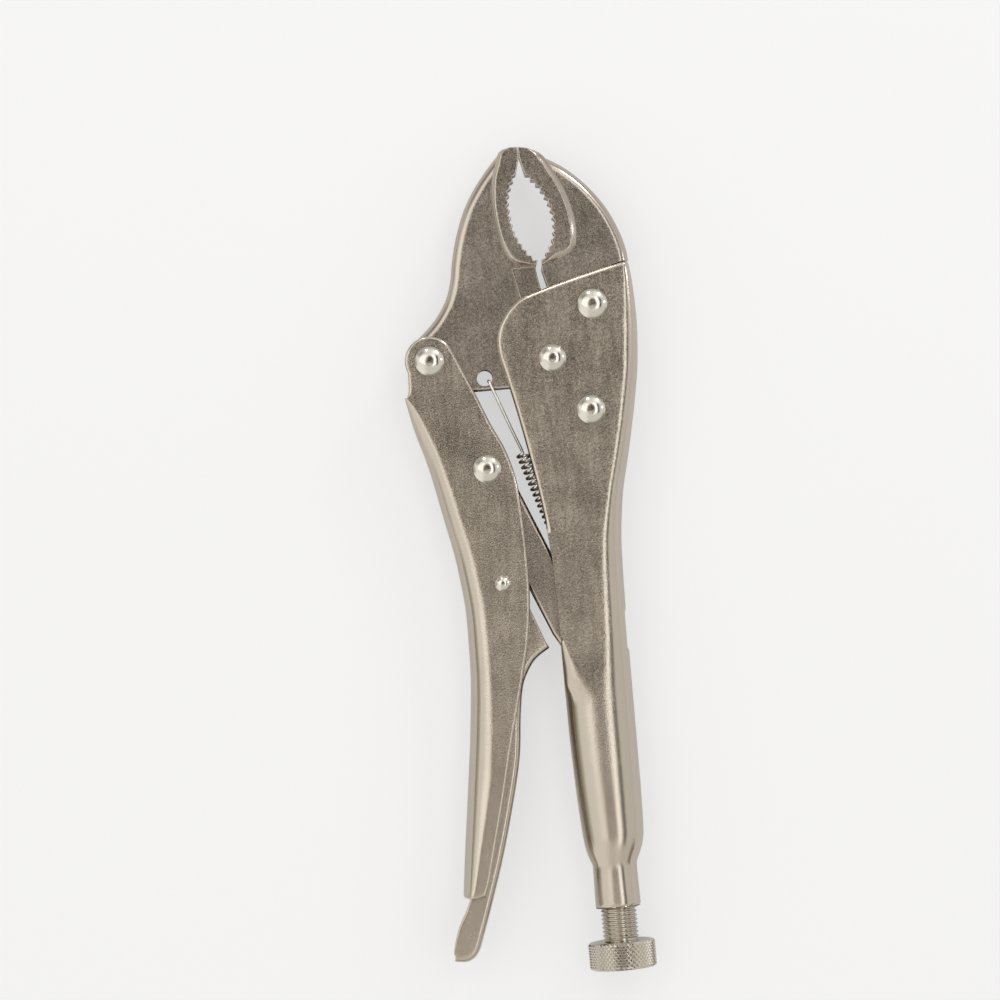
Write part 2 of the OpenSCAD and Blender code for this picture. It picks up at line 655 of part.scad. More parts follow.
seat() fixed_handle();
seat() fixed_jaw();
seat() fixed_jaw_rivet_upper();
seat() fixed_jaw_rivet_lower();
seat() jaw_pivot_rivet();
seat() moving_jaw();
seat() lever_rivet();
seat() lever_handle();
seat() toggle_rivet();
seat() toggle_link();
seat() release_lever();
seat() release_rivet();
seat() adjusting_screw();
seat() knurled_knob();
seat() jaw_spring();
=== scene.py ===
# %% [markdown]
# # Locking pliers in satin nickel
# The solids of the tool are packed as a frame: bodies that turn about rivets, and one node per
# piece. This script dresses that frame. Sheet pieces are rebuilt as fine skins from the same
# plan curves, so light runs along their bends without facets, and every finish is procedural.

# %% Load the frame
import json
import math
import bmesh
import bpy
import numpy as np
from mathutils import Matrix, Vector
from mathutils.geometry import tessellate_polygon


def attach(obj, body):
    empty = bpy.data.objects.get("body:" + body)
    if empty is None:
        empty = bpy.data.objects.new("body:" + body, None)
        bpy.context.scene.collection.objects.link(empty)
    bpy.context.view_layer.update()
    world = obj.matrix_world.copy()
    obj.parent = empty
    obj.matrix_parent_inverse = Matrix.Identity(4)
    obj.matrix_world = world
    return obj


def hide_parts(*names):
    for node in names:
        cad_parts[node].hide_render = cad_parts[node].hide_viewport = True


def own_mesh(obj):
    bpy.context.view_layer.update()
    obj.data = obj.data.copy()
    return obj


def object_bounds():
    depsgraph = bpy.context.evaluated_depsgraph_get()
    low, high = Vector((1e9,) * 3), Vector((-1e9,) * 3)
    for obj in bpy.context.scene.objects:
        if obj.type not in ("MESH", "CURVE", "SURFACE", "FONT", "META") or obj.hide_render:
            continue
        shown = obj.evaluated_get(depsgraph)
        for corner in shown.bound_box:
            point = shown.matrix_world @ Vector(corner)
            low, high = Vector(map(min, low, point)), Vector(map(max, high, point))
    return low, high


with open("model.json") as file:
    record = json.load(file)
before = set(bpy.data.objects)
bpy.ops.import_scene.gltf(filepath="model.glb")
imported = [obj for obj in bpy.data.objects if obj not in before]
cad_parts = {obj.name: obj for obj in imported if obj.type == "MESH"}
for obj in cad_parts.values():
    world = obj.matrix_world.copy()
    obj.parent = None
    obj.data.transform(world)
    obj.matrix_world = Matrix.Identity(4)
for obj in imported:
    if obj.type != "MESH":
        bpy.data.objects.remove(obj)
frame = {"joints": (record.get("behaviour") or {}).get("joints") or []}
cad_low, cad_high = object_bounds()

joints = {joint["name"]: joint for joint in frame["joints"]}
jaw_pivot = np.array(joints["jaw_swing"]["pos_m"])

# %% [markdown]
# All plan curves are written in millimetres with the jaw pivot at zero, the screw along Y and
# the jaws towards +Y, as a maker would dimension them. One helper seats them in the frame.

# %% Seat plan millimetres in the frame
MM = 0.001


def seated(points):
    """Plan points [[x, y, z], ...] in millimetres about the jaw pivot, in frame metres."""
    return np.asarray(points, float) * MM + jaw_pivot


def pivot_of(joint):
    """A joint's place in plan millimetres."""
    return (np.array(joints[joint]["pos_m"]) - jaw_pivot)[:2] / MM


lever_pivot = pivot_of("handle_swing")
toggle_pivot = pivot_of("link_swing")
release_pivot = pivot_of("release_swing")
screw_x = pivot_of("knob_spin")[0]
print("lever rivet", lever_pivot.round(2), "toggle rivet", toggle_pivot.round(2))

# %% [markdown]
# ## The bench
# The tool lies on a pale floor under a camera that looks straight down, turned five degrees.
# A short lens would splay the handles and show the sides of the jaws, so the camera stands far
# off with a long one. Its focal length follows from the width of bench that it has to show.

# %% Camera
scene = bpy.context.scene
frame_width, camera_height, camera_turn = 0.306, 1.5, -5
body_half = 7.8
cheek_height = jaw_pivot[2] + body_half * MM
view_centre = seated([-19.8, -41.9, 0])
camera_data = bpy.data.cameras.new("bench_camera")
camera_data.sensor_width = 36
camera_data.lens = camera_data.sensor_width * camera_height / frame_width
camera_data.clip_end = 10
camera = bpy.data.objects.new("bench_camera", camera_data)
camera.location = (view_centre[0], view_centre[1], cheek_height + camera_height)
camera.rotation_euler = (0, 0, math.radians(camera_turn))
scene.collection.objects.link(camera)
scene.camera = camera
scene.view_settings.view_transform = "Standard"
print("lens", round(camera_data.lens, 1), "mm")

# %% [markdown]
# ## The room
# Satin metal is mostly a picture of the room, so the room decides where a bend goes bright. A
# room could be an image, but a few ramps over direction stay sharp and say what each wall is
# for. They are built from small helpers, which the materials use as well.

# %% Node helpers
def maths(tree, operation, a, b=0.0, c=0.0):
    """A math node in a tree, fed by numbers or sockets."""
    made = tree.nodes.new("ShaderNodeMath")
    made.operation = operation
    for value, place in ((a, 0), (b, 1), (c, 2)):
        if isinstance(value, (int, float)):
            made.inputs[place].default_value = value
        else:
            tree.links.new(value, made.inputs[place])
    return made.outputs[0]


def ramp(tree, value, tones):
    """A colour ramp with [place, (r, g, b)] tones."""
    made = tree.nodes.new("ShaderNodeValToRGB")
    elements = made.color_ramp.elements
    elements[0].position, elements[0].color = tones[0][0], (*tones[0][1], 1)
    elements[1].position, elements[1].color = tones[-1][0], (*tones[-1][1], 1)
    for place, tone in tones[1:-1]:
        elements.new(place).color = (*tone, 1)
    tree.links.new(value, made.inputs["Fac"])
    return made.outputs["Color"]


def fade(tree, value, start, end):
    """A smooth rise from 0 to 1 between two values."""
    made = tree.nodes.new("ShaderNodeMapRange")
    made.interpolation_type = "SMOOTHSTEP"
    made.inputs["From Min"].default_value = start
    made.inputs["From Max"].default_value = end
    tree.links.new(value, made.inputs["Value"])
    return made.outputs[0]


def blended(tree, share, under, over):
    """One colour fading into another."""
    made = tree.nodes.new("ShaderNodeMix")
    made.data_type = "RGBA"
    tree.links.new(share, made.inputs["Factor"])
    for colour, name in ((under, "A"), (over, "B")):
        if isinstance(colour, tuple):
            made.inputs[name].default_value = (*colour, 1)
        else:
            tree.links.new(colour, made.inputs[name])
    return made.outputs["Result"]


print("node helpers: maths, ramp, fade, blended")

# %% [markdown]
# Over the tool hangs a dim brown patch, longer than it is wide, that the flat cheeks mirror. Its
# end towards the handles is bright. `reach` grows from 0 in the patch's middle to 1 at the
# horizon on either side. The left wall is cream and turns olive there. The right wall is a
# bright band, then a thin dark line, then pale, so bends on that side show a crisp double edge.

# %% Room
world = bpy.data.worlds.new("studio_room")
scene.world = world
world.use_nodes = True
room = world.node_tree
nodes, links = room.nodes, room.links
nodes.clear()
direction = nodes.new("ShaderNodeTexCoord")
split = nodes.new("ShaderNodeSeparateXYZ")
links.new(direction.outputs["Generated"], split.inputs[0])
toward_x, toward_y, toward_z = (split.outputs[axis] for axis in "XYZ")
patch_width, patch_length, patch_shift, reach_scale = 0.25, 0.36, 0.05, 0.25
side = maths(room, "DIVIDE", toward_x, patch_width)
ends = maths(room, "DIVIDE", maths(room, "SUBTRACT", toward_y, patch_shift), patch_length)
reach = maths(room, "SQRT", maths(room, "ADD", maths(room, "MULTIPLY", side, side),
                                  maths(room, "MULTIPLY", ends, ends)))
reach = maths(room, "MULTIPLY", reach, reach_scale)
patch_tone, patch_end_tone = (0.056, 0.046, 0.036), (1.15, 1.10, 1.00)
rim_tone = (0.10, 0.07, 0.045)
overhead = blended(room, fade(room, toward_y, -0.04, -0.10), patch_tone, patch_end_tone)
sand, cream, low_cream = (0.55, 0.42, 0.29), (1.00, 0.98, 0.92), (0.95, 0.94, 0.89)
khaki, olive = (0.55, 0.53, 0.46), (0.36, 0.35, 0.28)
left_walls = ramp(room, reach, [(0, rim_tone), (0.20, rim_tone), (0.24, sand), (0.29, cream),
                                (0.92, low_cream), (0.97, khaki), (1, olive)])
bright, thin_line = (2.0, 1.97, 1.9), (0.10, 0.085, 0.07)
pale, low_pale = (0.78, 0.77, 0.73), (0.74, 0.73, 0.69)
right_walls = ramp(room, reach, [(0, rim_tone), (0.23, rim_tone), (0.31, bright), (0.46, bright),
                                 (0.53, thin_line), (0.66, thin_line), (0.74, pale),
                                 (1, low_pale)])
walls = blended(room, fade(room, toward_x, -0.20, 0.20), left_walls, right_walls)
print("overhead patch", patch_width, "by", patch_length)

# %% [markdown]
# Beyond the jaws the wall grows brighter from left to right and is dimmer low down, and rivets
# and jaw crowns take their shading from it. Beyond the handles it is pale above and dark low
# down, with a bright corner to the left. Rays straight from the camera see plain white.

# %% End walls and the camera's white
far_left, left_grey, middle_pale = (0.30, 0.28, 0.26), (0.38, 0.36, 0.33), (0.95, 0.93, 0.88)
right_grey, far_right, low_north = (0.85, 0.83, 0.79), (1.2, 1.18, 1.13), (0.50, 0.48, 0.44)
south_pale, low_south, south_corner = (0.74, 0.72, 0.66), (0.30, 0.28, 0.24), (1.0, 0.98, 0.93)
north_walls = ramp(room, maths(room, "MULTIPLY_ADD", toward_x, 0.5, 0.5), [
    (0, far_left), (0.24, left_grey), (0.40, middle_pale), (0.56, right_grey),
    (0.68, far_right), (1, far_right)])
north_walls = blended(room, fade(room, toward_z, 0.50, 0.15), north_walls, low_north)
walls = blended(room, fade(room, toward_y, 0.30, 0.60), walls, north_walls)
south_walls = blended(room, fade(room, toward_z, 0.40, 0.15), south_pale, low_south)
walls = blended(room, fade(room, toward_y, -0.18, -0.45), walls, south_walls)
south_west = maths(room, "MULTIPLY", fade(room, toward_y, -0.12, -0.35),
                   fade(room, toward_x, -0.20, -0.55))
walls = blended(room, south_west, walls, south_corner)
walls = blended(room, fade(room, reach, 0.10, 0.24), overhead, walls)
studio, white = nodes.new("ShaderNodeBackground"), nodes.new("ShaderNodeBackground")
links.new(walls, studio.inputs["Color"])
white.inputs["Color"].default_value = (1, 1, 1, 1)
light_path = nodes.new("ShaderNodeLightPath")
choose, output = nodes.new("ShaderNodeMixShader"), nodes.new("ShaderNodeOutputWorld")
links.new(light_path.outputs["Is Camera Ray"], choose.inputs["Fac"])
links.new(studio.outputs[0], choose.inputs[1])
links.new(white.outputs[0], choose.inputs[2])
links.new(choose.outputs[0], output.inputs["Surface"])
print("room nodes:", len(nodes))

# %% [markdown]
# ## Lamps
# Three small lamps make the hard glints: two beyond the jaws and one to the right, which show
# as twin sparks and a third on every domed rivet. A larger one lifts the floor. Each is given
# by its radiance, so that its size can change without its glint going dim.

# %% Lamps
def softbox(name, place, size, radiance, tint):
    """A rectangular lamp that faces the tool, with its brightness per area."""
    lamp = bpy.data.lights.new(name, "AREA")
    lamp.shape = "RECTANGLE"
    lamp.size, lamp.size_y = size
    lamp.energy = radiance * math.pi * size[0] * size[1]
    lamp.color = tint
    rig = bpy.data.objects.new(name, lamp)
    rig.location = place
    rig.rotation_mode = "QUATERNION"
    rig.rotation_quaternion = (-Vector(place)).to_track_quat("-Z", "Y")
    scene.collection.objects.link(rig)
    print(name, round(lamp.energy, 2), "W")


softbox("north_lamp", (-0.18, 0.90, 0.42), (0.13, 0.13), 14, (1, 0.99, 0.97))
softbox("north_east_lamp", (0.56, 0.72, 0.42), (0.17, 0.17), 12, (1, 0.99, 0.97))
softbox("east_lamp", (0.90, 0.16, 0.42), (0.09, 0.15), 8, (1, 0.99, 0.98))
softbox("fill_lamp", (-0.60, 0.35, 1.05), (0.90, 0.90), 0.5, (1, 0.98, 0.95))

# %% [markdown]
# ## Floor
# The floor is a plain pale sheet. Seen directly it is lifted towards white, and it keeps the
# tool's soft shadow because only part of what the camera sees is the lift. More lamp light
# would whiten it too, but it would wash out the metal.

# %% Floor
floor_size, lift_share = 6, 0.58
bpy.ops.mesh.primitive_plane_add(size=floor_size, location=(0, 0, cad_low.z))
floor = bpy.context.active_object
floor.name = "bench_floor"
floor_finish = bpy.data.materials.new("pale_floor")
floor_finish.use_nodes = True
floor_tree = floor_finish.node_tree
floor_shader = floor_tree.nodes["Principled BSDF"]
floor_shader.inputs["Base Color"].default_value = (0.83, 0.84, 0.86, 1)
floor_shader.inputs["Roughness"].default_value = 0.9
floor_shader.inputs["Specular IOR Level"].default_value = 0.1
lift = floor_tree.nodes.new("ShaderNodeEmission")
lift.inputs["Color"].default_value = (1, 1, 1, 1)
lifted = floor_tree.nodes.new("ShaderNodeMixShader")
seen = floor_tree.nodes.new("ShaderNodeLightPath")
share = maths(floor_tree, "MULTIPLY", seen.outputs["Is Camera Ray"], lift_share)
floor_tree.links.new(share, lifted.inputs["Fac"])
floor_tree.links.new(floor_shader.outputs[0], lifted.inputs[1])
floor_tree.links.new(lift.outputs[0], lifted.inputs[2])
floor_tree.links.new(lifted.outputs[0], floor_tree.nodes["Material Output"].inputs["Surface"])
floor.data.materials.append(floor_finish)
print("floor at", round(cad_low.z, 4), "m")

# %% [markdown]
# ## Curves shared by the sheet pieces
# Every bend in the tool is drawn from a few knots, as a toolmaker's French curve would join
# them. `curve_at` reads a width or radius that never overshoots its knots, so a wall can't turn
# inside out, and `smooth` runs an even curve through plan points.

# %% Curves
def curve_at(knots, at):
    """Value at `at` of the curve through knots [[t, value], ...], level past its ends."""
    t, value = np.array(knots, float).T
    at = np.clip(np.asarray(at, float), t[0], t[-1])
    rise = np.diff(value) / np.diff(t)
    product = rise[:-1] * rise[1:]
    total = np.where(product > 0, rise[:-1] + rise[1:], 1)
    middle = np.where(product > 0, 2 * product / total, 0)
    slope = np.concatenate([rise[:1], middle, rise[-1:]])
    k = np.clip(np.searchsorted(t, at, side="right") - 1, 0, len(t) - 2)
    step = t[k + 1] - t[k]
    s = (at - t[k]) / step
    return ((2 * s**3 - 3 * s**2 + 1) * value[k] + (s**3 - 2 * s**2 + s) * slope[k] * step
            + (3 * s**2 - 2 * s**3) * value[k + 1] + (s**3 - s**2) * slope[k + 1] * step)


def smooth(points, steps=8):
    """An even run through plan points, with steps pieces between neighbours."""
    p = np.array(points, float)
    last = len(p) - 1
    slope = np.array([(p[min(k + 1, last)] - p[max(k - 1, 0)]) / (2 if 0 < k < last else 1)
                      for k in range(last + 1)])
    s = np.linspace(0, 1, steps, endpoint=False)[:, None]
    runs = [(2 * s**3 - 3 * s**2 + 1) * p[k] + (s**3 - 2 * s**2 + s) * slope[k]
            + (3 * s**2 - 2 * s**3) * p[k + 1] + (s**3 - s**2) * slope[k + 1]
            for k in range(last)]
    return np.vstack(runs + [p[-1:]])


def arc(centre, radius, start, end, steps=24):
    """Points on a circle from one angle in degrees to another."""
    a = np.radians(np.linspace(start, end, steps + 1))
    return np.column_stack([centre[0] + radius * np.cos(a), centre[1] + radius * np.sin(a)])


def across(run, y):
    """x where a run of plan points has the height y."""
    order = np.argsort(run[:, 1])
    return np.interp(y, run[order, 1], run[order, 0])


def outward(run):
    """Unit vectors square to a plan run, to its right."""
    step = np.gradient(run, axis=0)
    step /= np.linalg.norm(step, axis=1)[:, None]
    return np.column_stack([step[:, 1], -step[:, 0]])


def length_along(run):
    """The length of a run from its start to each of its points."""
    return np.concatenate([[0], np.cumsum(np.linalg.norm(np.diff(run, axis=0), axis=1))])


print("curve check:", curve_at([[0, 0], [1, 1], [3, 1.5]], [0.5, 2.0]).round(3))

# %% [markdown]
# ## Building sheet metal
# A pressed piece is a pair of grids, its outside and its inside, with a mask that says which
# cells hold metal. Where the mask ends, a cut edge joins the two, and a small bevel on that
# edge gives the thin bright line that a tumbled stamping has. A single skin with Solidify would
# be quicker, but here the wall thins towards the neck, and two grids say exactly where.

# %% Pieces from plan millimetres
weld_distance = 0.002


def new_piece(name, vertices, faces, slot, body, stands_for=(), sharp=35):
    """A finished mesh object in the frame, made from plan millimetres."""
    mesh = bpy.data.meshes.new(name)
    mesh.from_pydata(seated(vertices).tolist(), [], [tuple(map(int, f)) for f in faces])
    work = bmesh.new()
    work.from_mesh(mesh)
    bmesh.ops.remove_doubles(work, verts=work.verts, dist=weld_distance * MM)
    bmesh.ops.recalc_face_normals(work, faces=work.faces)
    work.to_mesh(mesh)
    work.free()
    dress(name, mesh, slot, body, stands_for, sharp)


def dress(name, mesh, slot, body, stands_for=(), sharp=35):
    """Smooth shading, finish, body and slot for a mesh that is already in the frame."""
    mesh.polygons.foreach_set("use_smooth", [True] * len(mesh.polygons))
    mesh.set_sharp_from_angle(angle=math.radians(sharp))
    piece = bpy.data.objects.new(name, mesh)
    scene.collection.objects.link(piece)
    mesh.materials.clear()
    mesh.materials.append(finishes[slot])
    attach(piece, body)
    if stands_for:
        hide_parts(*stands_for)
    return piece


print("points closer than", weld_distance, "mm are welded")

# %% Sheets from two grids
edge_segments, edge_room, sheet_sharp = 4, 1.2, 40


def sheet_metal(name, outside, inside, keep, slot, body, stands_for=(), edge=0.75):
    """A bent sheet between two grids [rows, columns, 3], with metal where keep is true.

    Cut edges are rounded by edge millimetres wherever the cells beside them have room."""
    rows, columns = outside.shape[:2]
    count = rows * columns
    index = np.arange(count).reshape(rows, columns)
    corners = np.stack([index[:-1, :-1], index[:-1, 1:], index[1:, 1:], index[1:, :-1]], axis=-1)
    cells = corners[keep]
    faces = [tuple(c) for c in cells] + [tuple(c[::-1] + count) for c in cells]
    sides = {}
    for cell in cells:
        for a, b in zip(cell, np.roll(cell, -1)):
            if (b, a) in sides:
                del sides[(b, a)]
            else:
                sides[(a, b)] = True
    faces += [(b, a, a + count, b + count) for a, b in sides]
    mesh = bpy.data.meshes.new(name)
    points = seated(np.concatenate([outside.reshape(-1, 3), inside.reshape(-1, 3)]))
    mesh.from_pydata(points.tolist(), [], [tuple(map(int, f)) for f in faces])
    work = bmesh.new()
    work.from_mesh(mesh)
    rim = work.faces.layers.int.new("rim")
    for k, face in enumerate(work.faces):
        face[rim] = k >= 2 * len(cells)
    bmesh.ops.delete(work, geom=[v for v in work.verts if not v.link_faces], context="VERTS")
    bmesh.ops.recalc_face_normals(work, faces=work.faces)
    cut = [e for e in work.edges if len(e.link_faces) == 2
           and e.link_faces[0][rim] != e.link_faces[1][rim]]
    along = set(cut)
    across_rim = {e for e in work.edges if all(face[rim] for face in e.link_faces)}
    cut = [e for e in cut if all(other.calc_length() > edge_room * edge * MM for v in e.verts
                                 for other in v.link_edges
                                 if other not in along and other not in across_rim)]
    bmesh.ops.bevel(work, geom=cut, offset=edge * MM, segments=edge_segments, profile=0.5,
                    affect="EDGES", clamp_overlap=False)
    work.faces.layers.int.remove(work.faces.layers.int["rim"])
    work.to_mesh(mesh)
    work.free()
    dress(name, mesh, slot, body, stands_for, sheet_sharp)
    print(name, len(mesh.polygons), "faces,", len(cut), "cut edges")


# %% [markdown]
# ## Finishes
# One satin nickel plate covers the stampings and forgings: a fine blasted grain with faint
# drawn streaks. It could be an image wrapped on the tool, but noise needs no seams and stays
# fine at any size. The shared effect lives in a node group that gives only a colour, a
# roughness and a normal, and each finish keeps its own metal shader.

# %% Satin nickel group
def socket(group, name, kind, default=None, output=False):
    """A named input or output on a node group."""
    made = group.interface.new_socket(name, in_out="OUTPUT" if output else "INPUT",
                                      socket_type=f"NodeSocket{kind}")
    if default is not None:
        made.default_value = default


def satin_group():
    """Colour, roughness and normal of blasted, plated steel in Object coordinates.

    Grain shows most on flat faces and towards the jaws, where hands haven't rubbed it down."""
    group = bpy.data.node_groups.new("satin_plate", "ShaderNodeTree")
    for name, kind, default in (("Tone", "Color", (0.56, 0.51, 0.45, 1)),
                                ("Roughness", "Float", 0.32), ("Grain", "Float", 0.35),
                                ("Streak", "Float", 0.25)):
        socket(group, name, kind, default)
    for name, kind in (("Color", "Color"), ("Roughness", "Float"), ("Normal", "Vector")):
        socket(group, name, kind, output=True)
    flat_start, flat_full, worn_end, fresh_start = 0.89, 0.99, -0.085, -0.025
    worn_share, bend_share, bend_polish = 0.4, 0.2, 0.6
    tone_swing, rough_swing, bump_height = 0.36, 0.16, 0.00012
    add, join = group.nodes.new, group.links.new
    given, result = add("NodeGroupInput"), add("NodeGroupOutput")
    place = add("ShaderNodeTexCoord")

    def noise(scale, detail, stretch=(1, 1, 1)):
        """Soft noise of a scale per metre, drawn out along an axis where stretch is small."""
        squeeze = add("ShaderNodeMapping")
        squeeze.inputs["Scale"].default_value = stretch
        join(place.outputs["Object"], squeeze.inputs["Vector"])
        made = add("ShaderNodeTexNoise")
        made.inputs["Scale"].default_value = scale
        made.inputs["Detail"].default_value = detail
        join(squeeze.outputs["Vector"], made.inputs["Vector"])
        return made.outputs["Fac"]

    grain = noise(2000, 3)
    patches = noise(90, 3)
    streaks = noise(700, 2, (1, 0.12, 1))

    def about(value, amount):
        """A pattern swung about zero by an amount."""
        return maths(group, "MULTIPLY", maths(group, "SUBTRACT", value, 0.5), amount)

    facing = add("ShaderNodeSeparateXYZ")
    join(place.outputs["Normal"], facing.inputs[0])
    flat = fade(group, maths(group, "ABSOLUTE", facing.outputs["Z"]), flat_start, flat_full)
    where = add("ShaderNodeSeparateXYZ")
    join(place.outputs["Object"], where.inputs[0])
    upper = maths(group, "MULTIPLY_ADD", fade(group, where.outputs["Y"], worn_end, fresh_start),
                  1 - worn_share, worn_share)
    blasted = maths(group, "MULTIPLY",
                    maths(group, "MULTIPLY_ADD", flat, 1 - bend_share, bend_share), upper)
    uneven = maths(group, "ADD", about(grain, 1.3), about(patches, 0.8))
    uneven = maths(group, "ADD", uneven, about(streaks, given.outputs["Streak"]))
    uneven = maths(group, "MULTIPLY", uneven, blasted)
    tint = add("ShaderNodeVectorMath")
    tint.operation = "SCALE"
    join(given.outputs["Tone"], tint.inputs[0])
    join(maths(group, "MULTIPLY_ADD", uneven, tone_swing, 1.0), tint.inputs["Scale"])
    join(tint.outputs[0], result.inputs["Color"])
    rough = maths(group, "MULTIPLY_ADD", uneven, rough_swing, given.outputs["Roughness"])
    rough = maths(group, "MULTIPLY", rough,
                  maths(group, "MULTIPLY_ADD", flat, 1 - bend_polish, bend_polish))
    join(rough, result.inputs["Roughness"])
    bump = add("ShaderNodeBump")
    bump.inputs["Distance"].default_value = bump_height
    join(maths(group, "MULTIPLY", given.outputs["Grain"], blasted), bump.inputs["Strength"])
    join(maths(group, "MULTIPLY_ADD", streaks, given.outputs["Streak"], grain),
         bump.inputs["Height"])
    join(bump.outputs["Normal"], result.inputs["Normal"])
    return group


satin = satin_group()
print("satin group sockets:", len(satin.interface.items_tree))

# %% [markdown]
# Five finishes share the plate and differ in tone and polish: stampings and forgings are the
# brown-grey of tumbled nickel, rivets are brighter and smoother, and the spring is pale wire.

# %% Metals
def metal(name, tone, roughness, grain, streak):
    """A metal that takes its colour, roughness and normal from the satin group."""
    made = bpy.data.materials.new(name)
    made.use_nodes = True
    tree = made.node_tree
    shader = tree.nodes["Principled BSDF"]
    shader.inputs["Metallic"].default_value = 1.0
    effect = tree.nodes.new("ShaderNodeGroup")
    effect.node_tree = satin
    effect.inputs["Tone"].default_value = (*tone, 1)
    effect.inputs["Roughness"].default_value = roughness
    effect.inputs["Grain"].default_value = grain
    effect.inputs["Streak"].default_value = streak
    tree.links.new(effect.outputs["Color"], shader.inputs["Base Color"])
    tree.links.new(effect.outputs["Roughness"], shader.inputs["Roughness"])
    tree.links.new(effect.outputs["Normal"], shader.inputs["Normal"])
    return made


finishes = {
    "pressed_steel": metal("pressed_steel", (0.59, 0.53, 0.46), 0.25, 0.40, 0.60),
    "forged_steel": metal("forged_steel", (0.52, 0.465, 0.41), 0.26, 0.30, 0.35),
    "rivet_steel": metal("rivet_steel", (0.74, 0.71, 0.65), 0.19, 0.08, 0.05),
    "screw_steel": metal("screw_steel", (0.60, 0.56, 0.50), 0.24, 0.20, 0.05),
    "spring_wire": metal("spring_wire", (0.86, 0.84, 0.79), 0.42, 0.05, 0.05),
}
print("finishes:", ", ".join(finishes))

# %% [markdown]
# ## Fixed handle
# One blank is pressed so that two flat cheeks stand on a rounded back, then curl round into a
# tube and draw down to a neck. Boxes and cylinders joined by Booleans would show a step at every
# change, so the skin is a lofted section: cut edge, flat cheek, elliptical bend, back, and the
# same mirrored below. First come the few curves that drive it, each a width or a radius against
# the distance down from the jaw pivot.

# %% Fixed handle curves
body_sheet, tube_half, tube_wall = 2.5, 8.1, 2.1
neck_radius, neck_end, bore_radius = 6.75, 169.6, 5.61
neck_left, neck_right = screw_x - neck_radius, screw_x + neck_radius
back = [[-30, 25.3], [-21, 26.4], [-10, 26.8], [3, 26.0], [15, 24.1], [30, 21.0], [45, 17.7],
        [60, 16.2], [80, 15.8], [130, 15.7], [146, 15.4], [151, 14.6], [154, 13.4],
        [157, neck_right], [neck_end, neck_right + 0.2]]
front = [[78, -5.0], [112, -4.9], [130, -4.4], [146, -3.5], [151, -2.9], [154, -2.1],
         [157, neck_left], [neck_end, neck_left - 0.2]]
tube_round, neck_round = tube_half - 0.05, neck_radius - 0.05
back_round = [[-28, 1.8], [-18, 3.4], [-4, 4.9], [20, 4.9], [42, 5.2], [58, 6.6], [85, 7.8],
              [107, 10.0], [130, 9.9], [146, 9.3], [151, 8.6], [154, 7.6], [157, neck_round]]
front_round = [[85, 0.3], [96, 4.6], [107, 10.0], [130, 9.9], [146, 9.3], [151, 8.6], [154, 7.6],
               [157, neck_round]]
back_edge_height = [[-28, 2.6], [-10, 4.2], [20, 5.2], [60, 7.0], [90, body_half - 0.2],
                    [110, tube_round], [150, tube_round], [157, neck_round]]
front_edge_height = [[85, 0.4], [96, 3.4], [106, tube_round], [150, tube_round],
                     [157, neck_round]]
half_width = [[92, body_half], [108, tube_half], [148, tube_half], [157, neck_radius]]
wall = [[84, body_sheet], [106, tube_wall], [146, tube_wall], [157, neck_radius - bore_radius]]
slit_half = [[80, body_half - body_sheet], [90, 5.1], [95, 4.8], [100, 4.5], [103, 2.4],
             [106, 0.4], [150, 0.35], [158, 0.9], [163, 1.3], [neck_end, 0.7]]
top_corner = 18.9
cheek_edge = smooth([[-4.9, -86], [-5.1, -70], [-5.9, -55], [-8.1, -38], [-11.6, -18.5],
                     [-14.6, -4.5], [-16.3, 3], [-15.9, 9.3], [-12.6, 15.4],
                     [-8.6, top_corner]], 12)
cheek_top = smooth([[-8.6, top_corner], [-0.4, 21.5], [10.6, 24.4], [19.4, 26.5], [28.5, 28.4]], 8)
curl_start = 86
print("handle curves from", -back[0][0], "above the pivot to", neck_end, "below")

# %% [markdown]
# Half of the section is five parts in a row, each with a fixed count of columns, so that every
# ring has the same columns and neighbouring rings join cell by cell.

# %% Fixed handle section
body_parts = []
for part, count in (("edge", 3), ("front bend", 12), ("cheek", 14), ("back bend", 18),
                    ("back", 2)):
    body_parts.append((part, count, body_parts[-1][1] + body_parts[-1][2] if body_parts else 0))
body_columns = body_parts[-1][1] + body_parts[-1][2] + 1
cheek_begin = body_parts[2][2]
least_bend, seam_clear = 0.02, 0.25


